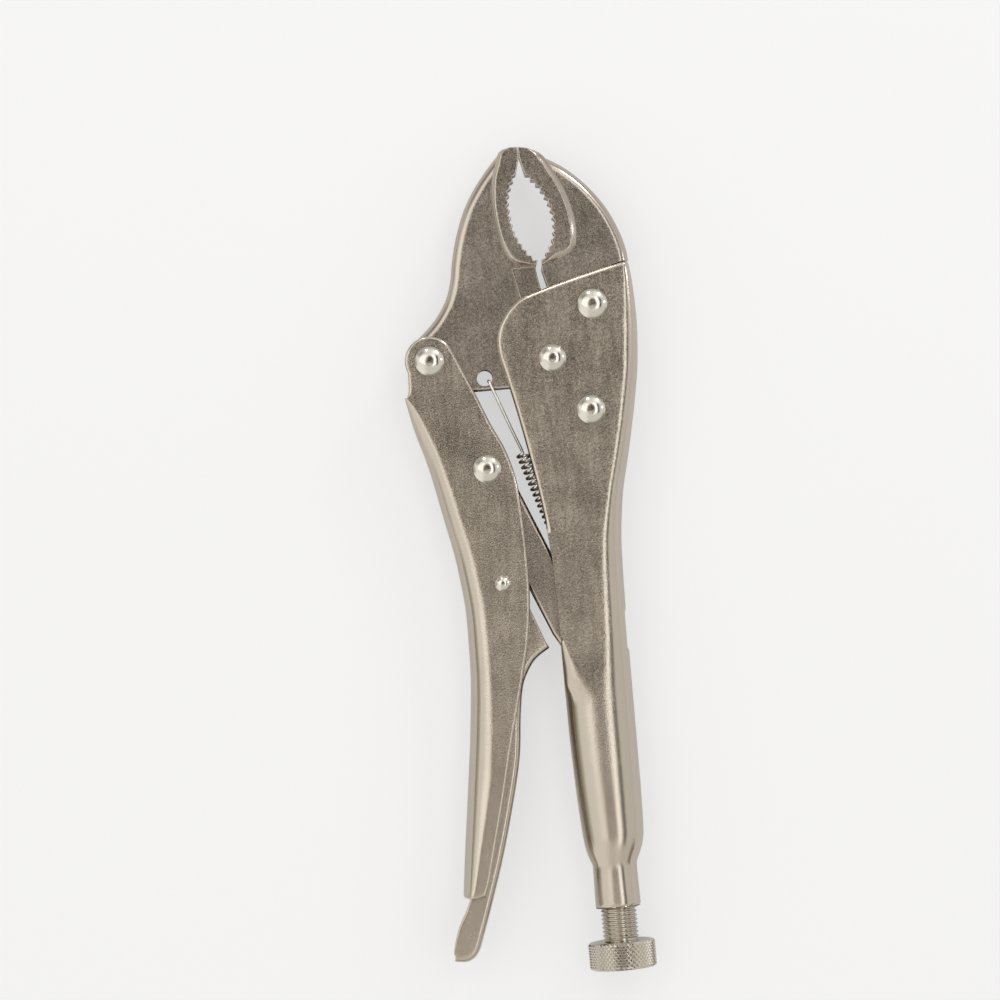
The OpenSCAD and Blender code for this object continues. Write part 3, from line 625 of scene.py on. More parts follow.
def half_ring(down, inset, open_cheek):
    """Upper half of the section at a distance down, from the front edge to the back's middle.

    down holds one distance per column, because the rows lean at the top."""
    column = np.arange(down.size)
    left = np.where(open_cheek, across(cheek_edge, -down), curve_at(front, down) + inset)
    right = curve_at(back, down) - inset
    half = curve_at(half_width, down) - inset
    seam = curve_at(slit_half, down)
    rx_front = np.where(open_cheek, 0,
                        np.maximum(curve_at(front_round, down) - inset, least_bend))
    rz_front = np.where(open_cheek, 0, np.maximum(
        np.minimum(curve_at(front_edge_height, down) - inset, half - seam - seam_clear),
        least_bend))
    rx_back = np.maximum(curve_at(back_round, down) - inset, least_bend)
    rz_back = np.maximum(np.minimum(curve_at(back_edge_height, down) - inset, half - least_bend),
                         least_bend)
    start = np.minimum(seam, half - rz_front)
    x, z = np.empty(down.size), np.empty(down.size)
    for part, count, begin in body_parts:
        pick = (column >= begin) & (column <= begin + count)
        t = (column[pick] - begin) / count
        a = t * math.pi / 2
        if part == "edge":
            x[pick] = left[pick]
            z[pick] = start[pick] + t * (half - rz_front - start)[pick]
        elif part == "front bend":
            x[pick] = left[pick] + rx_front[pick] * (1 - np.cos(a))
            z[pick] = half[pick] - rz_front[pick] * (1 - np.sin(a))
        elif part == "cheek":
            x[pick] = (left + rx_front)[pick] + t * (right - rx_back - left - rx_front)[pick]
            z[pick] = half[pick]
        elif part == "back bend":
            x[pick] = (right - rx_back)[pick] + rx_back[pick] * np.sin(a)
            z[pick] = (half - rz_back)[pick] + rz_back[pick] * np.cos(a)
        else:
            x[pick] = right[pick]
            z[pick] = (half - rz_back)[pick] * (1 - t)
    return x, z


print("columns in half a ring:", body_columns)

# %% [markdown]
# Rows of rings stack from the slanted top cut down to the neck, closer together where the shape
# turns fast. They lean at the top to follow the cut. Above the curl the front stays open, and a
# small window is left in the back, where the spring's flap was struck out.

# %% Fixed handle skin
lean_start, lean_power, lean_passes = -10, 1.5, 4
window_middle, window_half_length, window_half_width, window_side = -85, 5.6, 2.9, 10
row_heights = np.concatenate([
    [top_corner, 17.5, 16.1, 14.6, 13.0, 11.4], np.arange(9.6, -10, -2.2),
    np.arange(-12, -76, -3.2), -np.array([76.4, 79.5, 82.5, 85, curl_start, 87.2, 88.8, 90.5]),
    -np.arange(92, 110, 1.5), -np.arange(110.5, 142, 3.5), -np.arange(143, 158.5, 0.9),
    -np.array([159.5, 162, 165, 167.9, neck_end])])


def body_grid(inner):
    """Rows of whole rings: the outer face of the sheet, or the inner one set in by its wall."""
    rows = []
    for height in row_heights:
        share = np.clip((height - lean_start) / (top_corner - lean_start), 0, 1)
        lean = share**lean_power
        open_cheek = -height < curl_start - 0.01
        y = np.full(body_columns, height)
        for _ in range(lean_passes):
            inset = curve_at(wall, -y) if inner else np.zeros(body_columns)
            x, z = half_ring(-y, inset, open_cheek)
            y = height + lean * (np.interp(x, *cheek_top.T) - top_corner)
        upper = np.column_stack([x, y, z])
        lower = upper[-2::-1] * (1, 1, -1)
        rows.append(np.vstack([upper, lower]))
    return np.array(rows)


outside, inside = body_grid(False), body_grid(True)
keep = np.ones((len(row_heights) - 1, outside.shape[1] - 1), bool)
open_rows = row_heights[1:] >= -curl_start - 0.01
keep[np.ix_(open_rows, np.arange(cheek_begin))] = False
keep[np.ix_(open_rows, np.arange(keep.shape[1] - cheek_begin, keep.shape[1]))] = False
middle_z = (outside[:-1, :-1, 2] + outside[1:, 1:, 2]) / 2
middle_y = (outside[:-1, :-1, 1] + outside[1:, 1:, 1]) / 2
middle_x = (outside[:-1, :-1, 0] + outside[1:, 1:, 0]) / 2
keep[(np.abs(middle_z) < window_half_width) & (middle_x > window_side)
     & (np.abs(middle_y - window_middle) < window_half_length)] = False
sheet_metal("fixed_handle_skin", outside, inside, keep, "pressed_steel", "fixed_side",
            ("fixed_handle",), edge=1.0)

# %% [markdown]
# ## Lever handle
# The lever is a channel whose rounded back fits the palm. It is lofted as the fixed handle is,
# for the same reason, but its section is simpler: flat cheek, bend and back. Its two ears reach
# up past the back to the lever rivet, so the back's cells stop below them and only the flat
# columns go on.

# %% Lever handle curves
lever_half, lever_sheet, lever_end, end_run = 7.5, 2.2, -162.3, 12.3
ear_radius, ear_shoulder, ear_turn = 7.6, -8.4, 45
lever_back = [[8.4, -46.2], [17.5, -44.4], [30, -40.9], [46, -37.6], [62, -34.6], [78, -33.2],
              [92, -33.4], [110, -34.9], [130, -37.4], [150, -40.1], [166, -42.1]]
lever_round = [[8.4, 0.8], [13, 3.0], [22, 4.8], [60, 6.2], [90, 6.8], [120, 7.8], [150, 8.6],
               [166, 8.2]]
lever_edge = smooth([[-34.6, lever_end], [-33.0, -158], [-30, -146.5], [-26.6, -133.4],
                     [-22.7, -117], [-18.3, -100], [-15.2, -87], [-13.4, -74], [-13.0, -60],
                     [-13.5, -45], [-14.4, -35.6], [-16.9, -26.5], [-20.5, -18.8],
                     [-24.6, -8.6], [-27.8, -1.2]], 10)
ear_crown = ear_radius * math.sin(math.radians(ear_turn))
ear_right = np.vstack([lever_edge, arc(lever_pivot, ear_radius, 20, ear_turn, 8)])
ear_left = np.vstack([[[-45.4, ear_shoulder], [-44.75, -6.4]],
                      arc(lever_pivot, ear_radius, 205, 180 - ear_turn, 20)])
ear_top = lever_pivot[1] + ear_crown
lever_rows = np.concatenate([
    ear_top - np.array([0, 1.0, 1.9, 2.9, 4.1, 5.5, 7.1, 8.8, 10.6, 12.4, 14.0, 15.2]),
    [ear_shoulder], -np.array([8.9, 9.5, 10.2, 11.1, 12.2, 13.6, 15.4]), -np.arange(17.4, 60, 2.6),
    -np.arange(61, 158, 3.2), [-159.4, -160.9, lever_end]])
cut_end = smooth([[-43, lever_end], [-38.4, -163.1], [-34.6, lever_end]], 8)
print("lever rows:", len(lever_rows))

# %% Lever handle skin
cheek_cells, bend_cells, back_cells = 12, 18, 3
least_flat, least_lever_bend, first_cell, crown_start = 4.0, 0.3, 1.2, -9


def lever_grid(inset):
    """Rows of whole rings for one face of the sheet, set in from the outer one by inset."""
    rows = []
    for height in lever_rows:
        ear = height > ear_shoulder + 0.01
        down = -height
        near_top = np.clip((height - crown_start) / (ear_top - crown_start), 0, 1) ** 2
        near_end = np.clip((lever_end + end_run - height) / end_run, 0, 1) ** 2
        right = across(ear_right, height)
        left = across(ear_left, height) if ear else float(curve_at(lever_back, down)) + inset
        half = lever_half - inset
        outer_left = left - inset
        bend = float(curve_at(lever_round, down))
        rx, rz = 0, 0
        if not ear:
            rx = max(min(bend, right - outer_left - least_flat) - inset, least_lever_bend)
            rz = max(min(bend, lever_half - least_lever_bend) - inset, least_lever_bend)
        first = first_cell / (right - left - rx)
        t = np.concatenate([[0], np.linspace(first, 1, cheek_cells)])
        x = right + t * (left + rx - right)
        z = np.full(x.size, half)
        a = np.linspace(0, math.pi / 2, bend_cells + 1)[1:]
        x = np.concatenate([x, left + rx - rx * np.sin(a)])
        z = np.concatenate([z, half - rz + rz * np.cos(a)])
        t = np.linspace(0, 1, back_cells + 1)[1:]
        x = np.concatenate([x, np.full(t.size, left)])
        z = np.concatenate([z, (half - rz) * (1 - t)])
        crown = np.sqrt(np.maximum(ear_radius**2 - (x - lever_pivot[0])**2, ear_crown**2))
        y = height + near_top * (crown - ear_crown)
        y = y + near_end * (np.interp(x, *cut_end.T) - lever_end)
        upper = np.column_stack([x, y, z])
        rows.append(np.vstack([upper, upper[-2::-1] * (1, 1, -1)]))
    return np.array(rows)


outside, inside = lever_grid(0), lever_grid(lever_sheet)
keep = np.ones((len(lever_rows) - 1, outside.shape[1] - 1), bool)
ear_rows = lever_rows[1:] > ear_shoulder - 0.01
keep[np.ix_(ear_rows, np.arange(cheek_cells, keep.shape[1] - cheek_cells))] = False
sheet_metal("lever_handle_skin", outside, inside, keep, "pressed_steel", "lever_side",
            ("lever_handle",))

# %% [markdown]
# ## Forged jaws
# A jaw is a flat forging with a rounded crown and, round the mouth, a raised pad cut with V
# teeth. An extrusion with a Bevel modifier rounds every edge alike. Each plate here is a stack
# of rings that share one outline: every outline point has its own edge radius, so the crown can
# be full while the parting line stays crisp.

# %% Ring-stack plates
mitre_limit, hole_steps, hole_ease = 0.55, 32, 0.15


def mitres(outline):
    """Outward offset directions of a closed anticlockwise outline, lengthened at corners."""
    step = np.roll(outline, -1, axis=0) - outline
    step /= np.linalg.norm(step, axis=1)[:, None]
    after = np.column_stack([step[:, 1], -step[:, 0]])
    before = np.roll(after, 1, axis=0)
    bend = np.maximum(1 + np.sum(before * after, axis=1), mitre_limit)
    return (before + after) / bend[:, None]


def plate(outline, half, levels, holes=(), square=None):
    """Vertices and faces of a plate: levels are [inset per point, drop per point] from the top.

    square gives the points of corners that end flat, with the way their edge turns in."""
    outline = np.array(outline, float)
    n = len(outline)
    away = mitres(outline)
    for index, way in (square or {}).items():
        away[index] = way
    rings = []
    for inset, drop in levels:
        inset = np.broadcast_to(inset, n)
        ring = outline - away * inset[:, None]
        rings.append(np.column_stack([ring, half - np.broadcast_to(drop, n)]))
    rings += [ring * (1, 1, -1) for ring in rings[::-1]]
    vertices = np.vstack(rings)
    faces = []
    for k in range(len(rings) - 1):
        for i in range(n):
            j = (i + 1) % n
            faces.append((k * n + i, k * n + j, (k + 1) * n + j, (k + 1) * n + i))
    bottom = (len(rings) - 1) * n
    if not holes:
        faces += [tuple(range(n)), tuple(bottom + i for i in range(n))]
        return vertices, faces
    loops = [[Vector((x, y, 0)) for x, y in rings[0][:, :2]]]
    top_ids, low_ids = list(range(n)), [bottom + i for i in range(n)]
    for place, radius in holes:
        around = arc(place, 1, 0, 360, hole_steps)[:-1] - place
        start = len(vertices)
        for r, z in ((radius + hole_ease, half), (radius, half - hole_ease),
                     (radius, hole_ease - half), (radius + hole_ease, -half)):
            ring = np.column_stack([place + around * r, np.full(hole_steps, z)])
            vertices = np.vstack([vertices, ring])
        for k in range(3):
            for i in range(hole_steps):
                j = (i + 1) % hole_steps
                a = start + hole_steps * k
                b = a + hole_steps
                faces.append((a + i, b + i, b + j, a + j))
        loops.append([Vector((*vertices[start + i][:2], 0)) for i in range(hole_steps)])
        top_ids += [start + i for i in range(hole_steps)]
        low_ids += [start + 3 * hole_steps + i for i in range(hole_steps)]
    for triangle in tessellate_polygon(loops):
        faces.append(tuple(top_ids[i] for i in triangle))
        faces.append(tuple(low_ids[i] for i in triangle))
    return vertices, faces


print("steps round a hole:", hole_steps)

# %% Edge levels, joined plates and teeth
def rounded_levels(radius, steps=8):
    """Levels of a quarter-round edge per point, with a support ring on the flat."""
    support = 0.04 + 0.11 * radius
    angles = np.linspace(0, math.pi / 2, steps + 1)
    turns = [(radius * (1 - math.sin(a)), radius * (1 - math.cos(a))) for a in angles]
    return [(radius + support, 0 * radius)] + turns


def joined(*solids):
    """One vertex and face list from several closed solids."""
    vertices, faces, count = [], [], 0
    for points, polygons in solids:
        vertices.append(points)
        faces += [tuple(i + count for i in polygon) for polygon in polygons]
        count += len(points)
    return np.vstack(vertices), faces


def saw(run, count, depth, side):
    """V teeth whose crests lie on a run and whose roots lie to the side given."""
    length = length_along(run)
    at = np.linspace(0, length[-1], 2 * count + 1)
    points = np.column_stack([np.interp(at, length, run[:, k]) for k in (0, 1)])
    away = outward(points)
    return points + side * depth * away * (np.arange(len(at)) % 2)[:, None]


print("a quarter-round edge has", len(rounded_levels(np.zeros(1))), "levels")

# %% [markdown]
# The mouth, crown and pad of each jaw are runs of plan points. The jaws meet at the tips with a
# hair's gap, and their teeth share one count and depth, so that one cutter could make both.

# %% Jaw outlines
teeth, tooth_depth = 13, 1.0
tip_x, jaw_gap, tip_line = -4.95, 0.12, 62.2
fixed_mouth = smooth([[-3.5, 56.6], [0.1, 52.2], [2.7, 46.6], [3.6, 41], [2.5, 35.5],
                      [-0.6, 30.5]], 6)
moving_mouth = smooth([[-6.4, 57], [-8.7, 51.4], [-9.1, 46.2], [-8.1, 39.8], [-5, 33.7],
                       [-1.9, 30.3]], 6)
fixed_crown = smooth([[-2.6, 64.8], [1.5, 62.4], [8.4, 58.2], [14.8, 52.3], [20.3, 44.9],
                      [23.8, 37.3], [25.3, 32], [25.75, 28.6]], 6)
moving_crown = smooth([[-44.2, 6.1], [-40.4, 9.6], [-35.2, 14.5], [-31.2, 20.4], [-29.2, 26.3],
                       [-28.2, 32], [-26.3, 39.5], [-23.2, 47.6], [-19.4, 54], [-14.9, 59.7],
                       [-10.6, 64.2], [-8.0, 65.2]], 6)
fixed_pad = smooth([[-2.2, 64.9], [1.8, 62.9], [4.9, 58.4], [8.3, 51.4], [10.3, 44.3],
                    [10.9, 38.6], [10.2, 33.6], [7.8, 31.1], [4.2, 30.0], [-0.6, 28.8]], 6)
moving_pad = smooth([[-2.5, 28.9], [-4.4, 28.9], [-8.2, 29.5], [-10.7, 31.6], [-12.9, 36.6],
                     [-14.1, 42.6], [-14.5, 49], [-13.9, 55.5], [-12.4, 60.6], [-10.8, 64.4],
                     [-7.6, 65.5]], 6)
pad_half, fixed_half, moving_half = 6.4, 5.25, 4.9
full_round, crisp = 2.8, 0.3
print("teeth on each jaw:", teeth)

# %% [markdown]
# A pad stands a little above its jaw, and its outer side slopes down on to the jaw's face. Near
# its ends the slope would cross the teeth, so there it fades into a plain eased edge.

# %% Toothed pads
slope_fade, face_ease, tip_top = 5.0, 0.10, 65.4
slope_levels = [(1.70, 0), (1.28, 0), (1.12, 0.05), (0.98, 0.16), (0.30, 0.98), (0.16, 1.14),
                (0.05, 1.36), (0, 1.8)]
face_levels = [(0.45, 0), (face_ease, 0), (face_ease, 0), (0.03, 0.03), (0, face_ease), (0, 0.5),
               (0, 1.0), (0, 1.8)]


def pad(outer, mouth, tip, slope_width):
    """A raised pad: a sloped outer side with soft edges and a toothed mouth side.

    The slope fades out towards both ends of the outer run, where the corners are narrow."""
    outline = np.vstack([outer, tip, mouth])
    length = length_along(outer)
    from_end = np.minimum(length, length[-1] - length)
    sloped = np.zeros(len(outline))
    sloped[:len(outer)] = np.clip(from_end / slope_fade, 0, 1)
    levels = [(sloped * a * slope_width + (1 - sloped) * c, sloped * b + (1 - sloped) * d)
              for (a, b), (c, d) in zip(slope_levels, face_levels)]
    return plate(outline, pad_half, levels)


fixed_teeth = saw(fixed_mouth, teeth, tooth_depth, -1)
moving_teeth = saw(moving_mouth, teeth, tooth_depth, 1)
right_tip, left_tip = tip_x + jaw_gap / 2, tip_x - jaw_gap / 2
fixed_pad_solid = pad(fixed_pad[::-1], fixed_teeth,
                      [[right_tip, tip_top], [right_tip, tip_line]], 1.45)
moving_tip = [[left_tip, tip_line], [left_tip, tip_top]]
moving_pad_solid = pad(moving_pad[::-1], np.vstack([moving_teeth[::-1], moving_tip]),
                       np.empty((0, 2)), 1.0)
print("pad points:", len(fixed_pad_solid[0]), "and", len(moving_pad_solid[0]))

# %% [markdown]
# Behind its pad, each jaw is a flat plate. The fixed jaw's root runs down between the handle's
# cheeks, where two rivets hold it. The plates stop inside the pads, so no two faces lie in one
# plane and flicker.

# %% Fixed jaw
root_end, hub_clear, shoulder_gap = -24.0, 9.4, 0.07
root_top, root_inset, shoulder_x = 26.6, 5.3, 25.8
root_heights = np.linspace(root_end, root_top, 10)
root = np.column_stack([curve_at(back, -root_heights) - root_inset, root_heights])
root[-1, 1] = np.interp(root[-1, 0], *cheek_top.T) + shoulder_gap
shoulder_end = [shoulder_x, np.interp(shoulder_x, *cheek_top.T) + shoulder_gap]
behind_teeth = [[-4.7, 65.0], [-4.7, 62.6], [-1.2, 59.3], [2.4, 52.9], [5.0, 46.8], [5.9, 41],
                [4.8, 35.3], [1.6, 31.1], [0.4, 29.6], [-0.85, 28.3], [-1.0, 27.4], [0.7, 20.6]]
fixed_outline = np.vstack([root, [shoulder_end], fixed_crown[::-1], behind_teeth,
                           arc((0, 0), hub_clear, 66, -66, 20), [[3.0, root_end]]])
fixed_radius = np.full(len(fixed_outline), crisp)
crown_at = slice(len(root), len(root) + 1 + len(fixed_crown))
fixed_radius[crown_at] = full_round
fixed_jaw_plate = plate(fixed_outline, fixed_half, rounded_levels(fixed_radius),
                        square={len(root): (1, 0)})
new_piece("fixed_jaw_forging", *joined(fixed_jaw_plate, fixed_pad_solid), "forged_steel",
          "fixed_side", ("fixed_jaw",))
print("fixed jaw outline:", len(fixed_outline), "points")

# %% [markdown]
# The moving jaw turns on a round hub. It has a shallow land beside the parting line, a lug for
# the lever rivet, and a hole for the spring's hook.

# %% Moving jaw
hub_radius, lug_radius, heel, heel_round = 8.4, 6.8, -8.1, 0.9
spring_hole, spring_hole_radius = np.array([-21.3, -4.3]), 2.45
land_depth = 0.8
land_edge = [[-7.6, 18], [-8.8, 23.6], [-9.8, 28.2], [-2.75, 28.2], [-2.55, 28.8]]
inside_pad = [[-3.8, 30.0], [-7.3, 34.2], [-10.4, 40.0], [-11.6, 46.3], [-11.2, 51.6],
              [-9.1, 57.3], [-6.5, 62.0], [-5.3, 62.6], [-5.3, 65.0]]
heel_line = [[-27.6, heel], [-20, heel], [-10, heel], [0, heel]]
before_crown = np.vstack([arc((0, 0), hub_radius, -72, 80, 20), [[-0.75, 18]], land_edge,
                          inside_pad])
after_crown = np.vstack([arc(lever_pivot, lug_radius, 150, 260, 16), [[-30, -7.2]], heel_line])
moving_outline = np.vstack([before_crown, moving_crown[::-1], after_crown])
moving_radius = np.full(len(moving_outline), crisp)
moving_radius[len(before_crown):-len(after_crown)] = full_round
moving_radius[-len(heel_line):] = heel_round
moving_jaw_plate = plate(moving_outline, moving_half, rounded_levels(moving_radius),
                         holes=[(spring_hole, spring_hole_radius)])
land_outline = [[-0.75, 16], [-2.7, 27.3], [-2.75, 28.6], [-10.5, 28.6], [-8.4, 16]]
land_plate = plate(land_outline, moving_half - land_depth,
                   rounded_levels(np.full(len(land_outline), crisp), 3))
new_piece("moving_jaw_forging", *joined(moving_jaw_plate, land_plate, moving_pad_solid),
          "forged_steel", "swing_jaw", ("moving_jaw",))
print("moving jaw outline:", len(moving_outline), "points")

# %% [markdown]
# ## Toggle link
# A plain forged bar with rounded edges, which lies between the handles and pushes on the screw.
# It is a plate like the jaws, and its outline is four arcs set square to the line from its
# rivet to its foot.

# %% Toggle link
link_foot = np.array([5, -99.5])
link_run = link_foot - toggle_pivot
link_length = np.linalg.norm(link_run)
link_lean = math.degrees(math.atan2(link_run[1], link_run[0]))
link_head, link_waist, link_end, link_half, link_round = 5.65, 5.55, 3.6, 4.0, 1.2
waist_share = 0.74
foot = link_foot - link_end * link_run / link_length
waist = toggle_pivot + waist_share * link_run
link_outline = np.vstack([
    arc(toggle_pivot, link_head, link_lean + 90, link_lean + 270, 32),
    arc(waist, link_waist, link_lean - 90, link_lean - 78, 4),
    arc(foot, link_end, link_lean - 72, link_lean + 72, 24),
    arc(waist, link_waist, link_lean + 78, link_lean + 90, 4)])
new_piece("toggle_link_bar",
          *plate(link_outline, link_half, rounded_levels(np.full(len(link_outline), link_round))),
          "forged_steel", "link", ("toggle_link",))
print("link length:", round(link_length, 1), "mm")

# %% [markdown]
# ## Release lever
# A narrow channel whose web faces the fixed handle. It bends along its length, so straight
# rows like the handles' would cut it askew. Each row here runs from the free edge of a flank to
# the web and round to the other flank, and the rows fan along the web.

# %% Release lever curves
release_half, release_sheet, release_bend, release_hub = 4.9, 1.4, 1.7, 4.2
web = smooth([[-8.6, -88.4], [-9.4, -88.9], [-10.6, -89.6], [-13.6, -91.9], [-16.2, -95.8],
              [-17.9, -100.2], [-19.2, -108.5], [-20.6, -121], [-24, -135.6], [-28.5, -151.7],
              [-33.4, -166.4], [-36.8, -176.0], [-37.9, -178.8], [-39.5, -181], [-42.2, -182.3],
              [-45.9, -181.9]], 5)
hub_steps = 30
free_edge = np.vstack([arc(release_pivot, release_hub, 30, 190, hub_steps),
                       smooth([[-26.0, -78], [-27.2, -100], [-27.4, -120], [-31.8, -146],
                               [-35.2, -163.2]], 6),
                       [[-35.6, -162.2], [-38.6, -162.0], [-39.8, -164.2]],
                       smooth([[-41, -167], [-43.3, -171], [-45.3, -176.3], [-46.0, -179.5]], 4)])
hub_rows, flank_rows, web_hub_share = 16, 60, 0.17
print("release lever spans", round(length_along(web)[-1], 1), "mm along its web")

# %% Release lever rows
def evenly(run, share):
    """Points at shares of a run's length."""
    length = length_along(run)
    return np.column_stack([np.interp(share * length[-1], length, run[:, k]) for k in (0, 1)])


def shares_with_hub(hub_share):
    """Row places along a run: close together over the hub's share of it, then wider."""
    return np.concatenate([np.linspace(0, hub_share, hub_rows),
                           np.linspace(hub_share, 1, flank_rows)[1:]])


edge_length = length_along(free_edge)
web_points = evenly(web, shares_with_hub(web_hub_share))
far_points = evenly(free_edge, shares_with_hub(edge_length[hub_steps] / edge_length[-1]))
web_out = outward(web_points) * -1
print("release lever rows:", len(web_points))

# %% Release lever skin
flank_cells, curve_cells, web_cells, least_release_bend = 8, 8, 3, 0.3


def release_grid(inset):
    """Rows of whole rings for one face of the sheet, set in from the outer one by inset."""
    rows = []
    for at_web, at_edge, out in zip(web_points, far_points, web_out):
        bend = max(release_bend - inset, least_release_bend)
        half = release_half - inset
        skin = at_web - out * inset
        begin = skin - out * bend
        t = np.linspace(0, 1, flank_cells + 1)[:, None]
        plan = [at_edge + t * (begin - at_edge)]
        height = [np.full(t.size, half)]
        a = np.linspace(0, math.pi / 2, curve_cells + 1)[1:, None]
        plan.append(begin + out * bend * np.sin(a))
        height.append((half - bend * (1 - np.cos(a)))[:, 0])
        t = np.linspace(0, 1, web_cells + 1)[1:]
        plan.append(np.repeat(skin[None], t.size, axis=0))
        height.append((half - bend) * (1 - t))
        upper = np.column_stack([np.vstack(plan), np.concatenate(height)])
        rows.append(np.vstack([upper, upper[-2::-1] * (1, 1, -1)]))
    return np.array(rows)


outside, inside = release_grid(0), release_grid(release_sheet)
keep = np.ones((len(outside) - 1, outside.shape[1] - 1), bool)
sheet_metal("release_lever_skin", outside, inside, keep, "pressed_steel", "release",
            ("release_lever",), edge=0.3)

# %% [markdown]
# ## Rivets
# Each rivet is turned: a shank and, at either end, a low dome on a short drum. One profile
# serves all six. A squashed ball would make a steep rim that doubles the lamps' glints, so the
# dome follows a power curve that stays shallow to its edge.

# %% Lathe
def lathe(profile, segments=72):
    """Vertices and faces of a solid turned about Z, from [radius, height] pairs."""
    turn = np.linspace(0, 2 * math.pi, segments, endpoint=False)
    vertices = np.vstack([np.column_stack([radius * np.cos(turn), radius * np.sin(turn),
                                           np.full(segments, height)])
                          for radius, height in profile])
    faces = [(k * segments + i, k * segments + (i + 1) % segments,
              (k + 1) * segments + (i + 1) % segments, (k + 1) * segments + i)
             for k in range(len(profile) - 1) for i in range(segments)]
    last = (len(profile) - 1) * segments
    return vertices, faces + [tuple(range(segments)), tuple(last + i for i in range(segments))]


print("lathe check:", len(lathe([(1, 0), (1, 1)])[1]), "faces round and at the ends")

# %% Rivets
dome_rise, dome_fullness, dome_steps = 1.55, 2.6, 18
least_drum, rim_ease, foot_inset = 0.2, 0.1, 0.12


def rivet(name, place, shank, head, height, grip, body):
    """A rivet through a pack of half thickness grip: low domes, each on a short drum."""
    rise = min(height - least_drum, dome_rise)
    upper = [(head / 2 * share, grip + height - rise * share**dome_fullness)
             for share in np.linspace(0.01, 1, dome_steps)]
    upper += [(head / 2, grip + rim_ease), (head / 2 - foot_inset, grip), (shank / 2, grip)]
    vertices, faces = lathe(upper + [(radius, -level) for radius, level in upper[::-1]])
    new_piece(name + "_turned", vertices + (*place, 0), faces, "rivet_steel", body, (name,))


bench_half, shank, small_shank = 10.4, 5.56, 2.96
body_head, lever_head, small_head = bench_half - body_half, bench_half - lever_half, 1.4
upper_rivet, lower_rivet = (13.6, 15.5), (10.4, -16.7)
rivets = (
    ("fixed_jaw_rivet_upper", upper_rivet, shank, 9.1, body_head, body_half, "fixed_side"),
    ("fixed_jaw_rivet_lower", lower_rivet, shank, 8.7, body_head, body_half, "fixed_side"),
    ("jaw_pivot_rivet", (0, 0), shank, 8.3, body_head, body_half, "fixed_side"),
    ("lever_rivet", lever_pivot, shank, 8.9, lever_head, lever_half, "lever_side"),
    ("toggle_rivet", toggle_pivot, shank, 8.5, lever_head, lever_half, "lever_side"),
    ("release_rivet", release_pivot, small_shank, 5.0, small_head, lever_half, "lever_side"))
for sizes in rivets:
    rivet(*sizes)
print("rivets:", len(rivets))

# %% [markdown]
# ## Grown shapes
# Thread, knurl and spring repeat or follow a path, so modelling groups grow them: a size can
# change without a line of code. Each group has named inputs in millimetres, and the result is
# taken as a plain mesh and set on its axis.

# %% Modelling groups
def modelling_group(name, inputs):
    """A modelling group with its geometry in and out and named inputs."""
    group = bpy.data.node_groups.new(name, "GeometryNodeTree")
    socket(group, "Geometry", "Geometry")
    for label, kind, default in inputs:
        socket(group, label, kind, default)
    socket(group, "Material", "Material")
    socket(group, "Geometry", "Geometry", output=True)
    return group, group.nodes.new("NodeGroupInput"), group.nodes.new("NodeGroupOutput")


def feed(tree, kind, settings=None, **sockets):
    """A node with its options set and its sockets fed by values or other sockets."""
    made = tree.nodes.new(kind)
    for option, value in (settings or {}).items():
        setattr(made, option, value)
    for label, value in sockets.items():
        target = made.inputs[int(label[1:])] if label[1:].isdigit() else made.inputs[
            label.replace("_", " ")]
        if isinstance(value, bpy.types.NodeSocket):
            tree.links.new(value, target)
        else:
            target.default_value = value
    return made


def finish_group(tree, given, result, geometry):
    """Close a modelling group: real geometry with the finish set."""
    real = feed(tree, "GeometryNodeRealizeInstances", _0=geometry)
    coated = feed(tree, "GeometryNodeSetMaterial", Geometry=real.outputs[0],
                  Material=given.outputs["Material"])
    tree.links.new(coated.outputs[0], result.inputs[0])


print("modelling helpers: modelling_group, feed, finish_group")

# %% From a group to a plain mesh
def grown(group, carrier, slot, **values):
    """The plain mesh that a modelling group makes of a carrier, closed and facing outward."""
    scene.collection.objects.link(carrier)
    modifier = carrier.modifiers.new(group.name, "NODES")
    modifier.node_group = group
    values["Material"] = finishes[slot]
    for item in group.interface.items_tree:
        label = item.name.replace(" ", "_")
        if item.in_out == "INPUT" and label in values:
            modifier[item.identifier] = values[label]
    view = carrier.evaluated_get(bpy.context.evaluated_depsgraph_get())
    mesh = bpy.data.meshes.new_from_object(view)
    carrier.modifiers.clear()
    bpy.data.objects.remove(carrier)
    work = bmesh.new()
    work.from_mesh(mesh)
    bmesh.ops.recalc_face_normals(work, faces=work.faces)
    work.to_mesh(mesh)
    work.free()
    return mesh


def carrier_mesh(name, vertices, faces):
    """An object that holds a raw shape in millimetres for a modelling group."""
    mesh = bpy.data.meshes.new(name)
    mesh.from_pydata(np.asarray(vertices).tolist(), [], faces)
    return bpy.data.objects.new(name, mesh)


def on_screw_axis(mesh, down):
    """Turn a shape grown along Z to lie down the screw axis, in frame metres."""
    quarter_turn = Matrix.Rotation(math.radians(90), 4, "X")
    place = Matrix.Translation(Vector(seated([screw_x, -down, 0])))
    mesh.transform(place @ quarter_turn @ Matrix.Scale(MM, 4))


print("screw axis at x", round(screw_x, 2), "mm")

# %% [markdown]
# ## Adjusting screw
# The screw is a turned core with a V ridge swept along a helix, as a die cuts it: a flat crest
# and an open root. A bump map would do for the middle of it, but not for its outline, where the
# teeth of the thread show against the floor.

# %% Thread group
crest_share, root_share, sink = 0.07, 0.46, 0.05


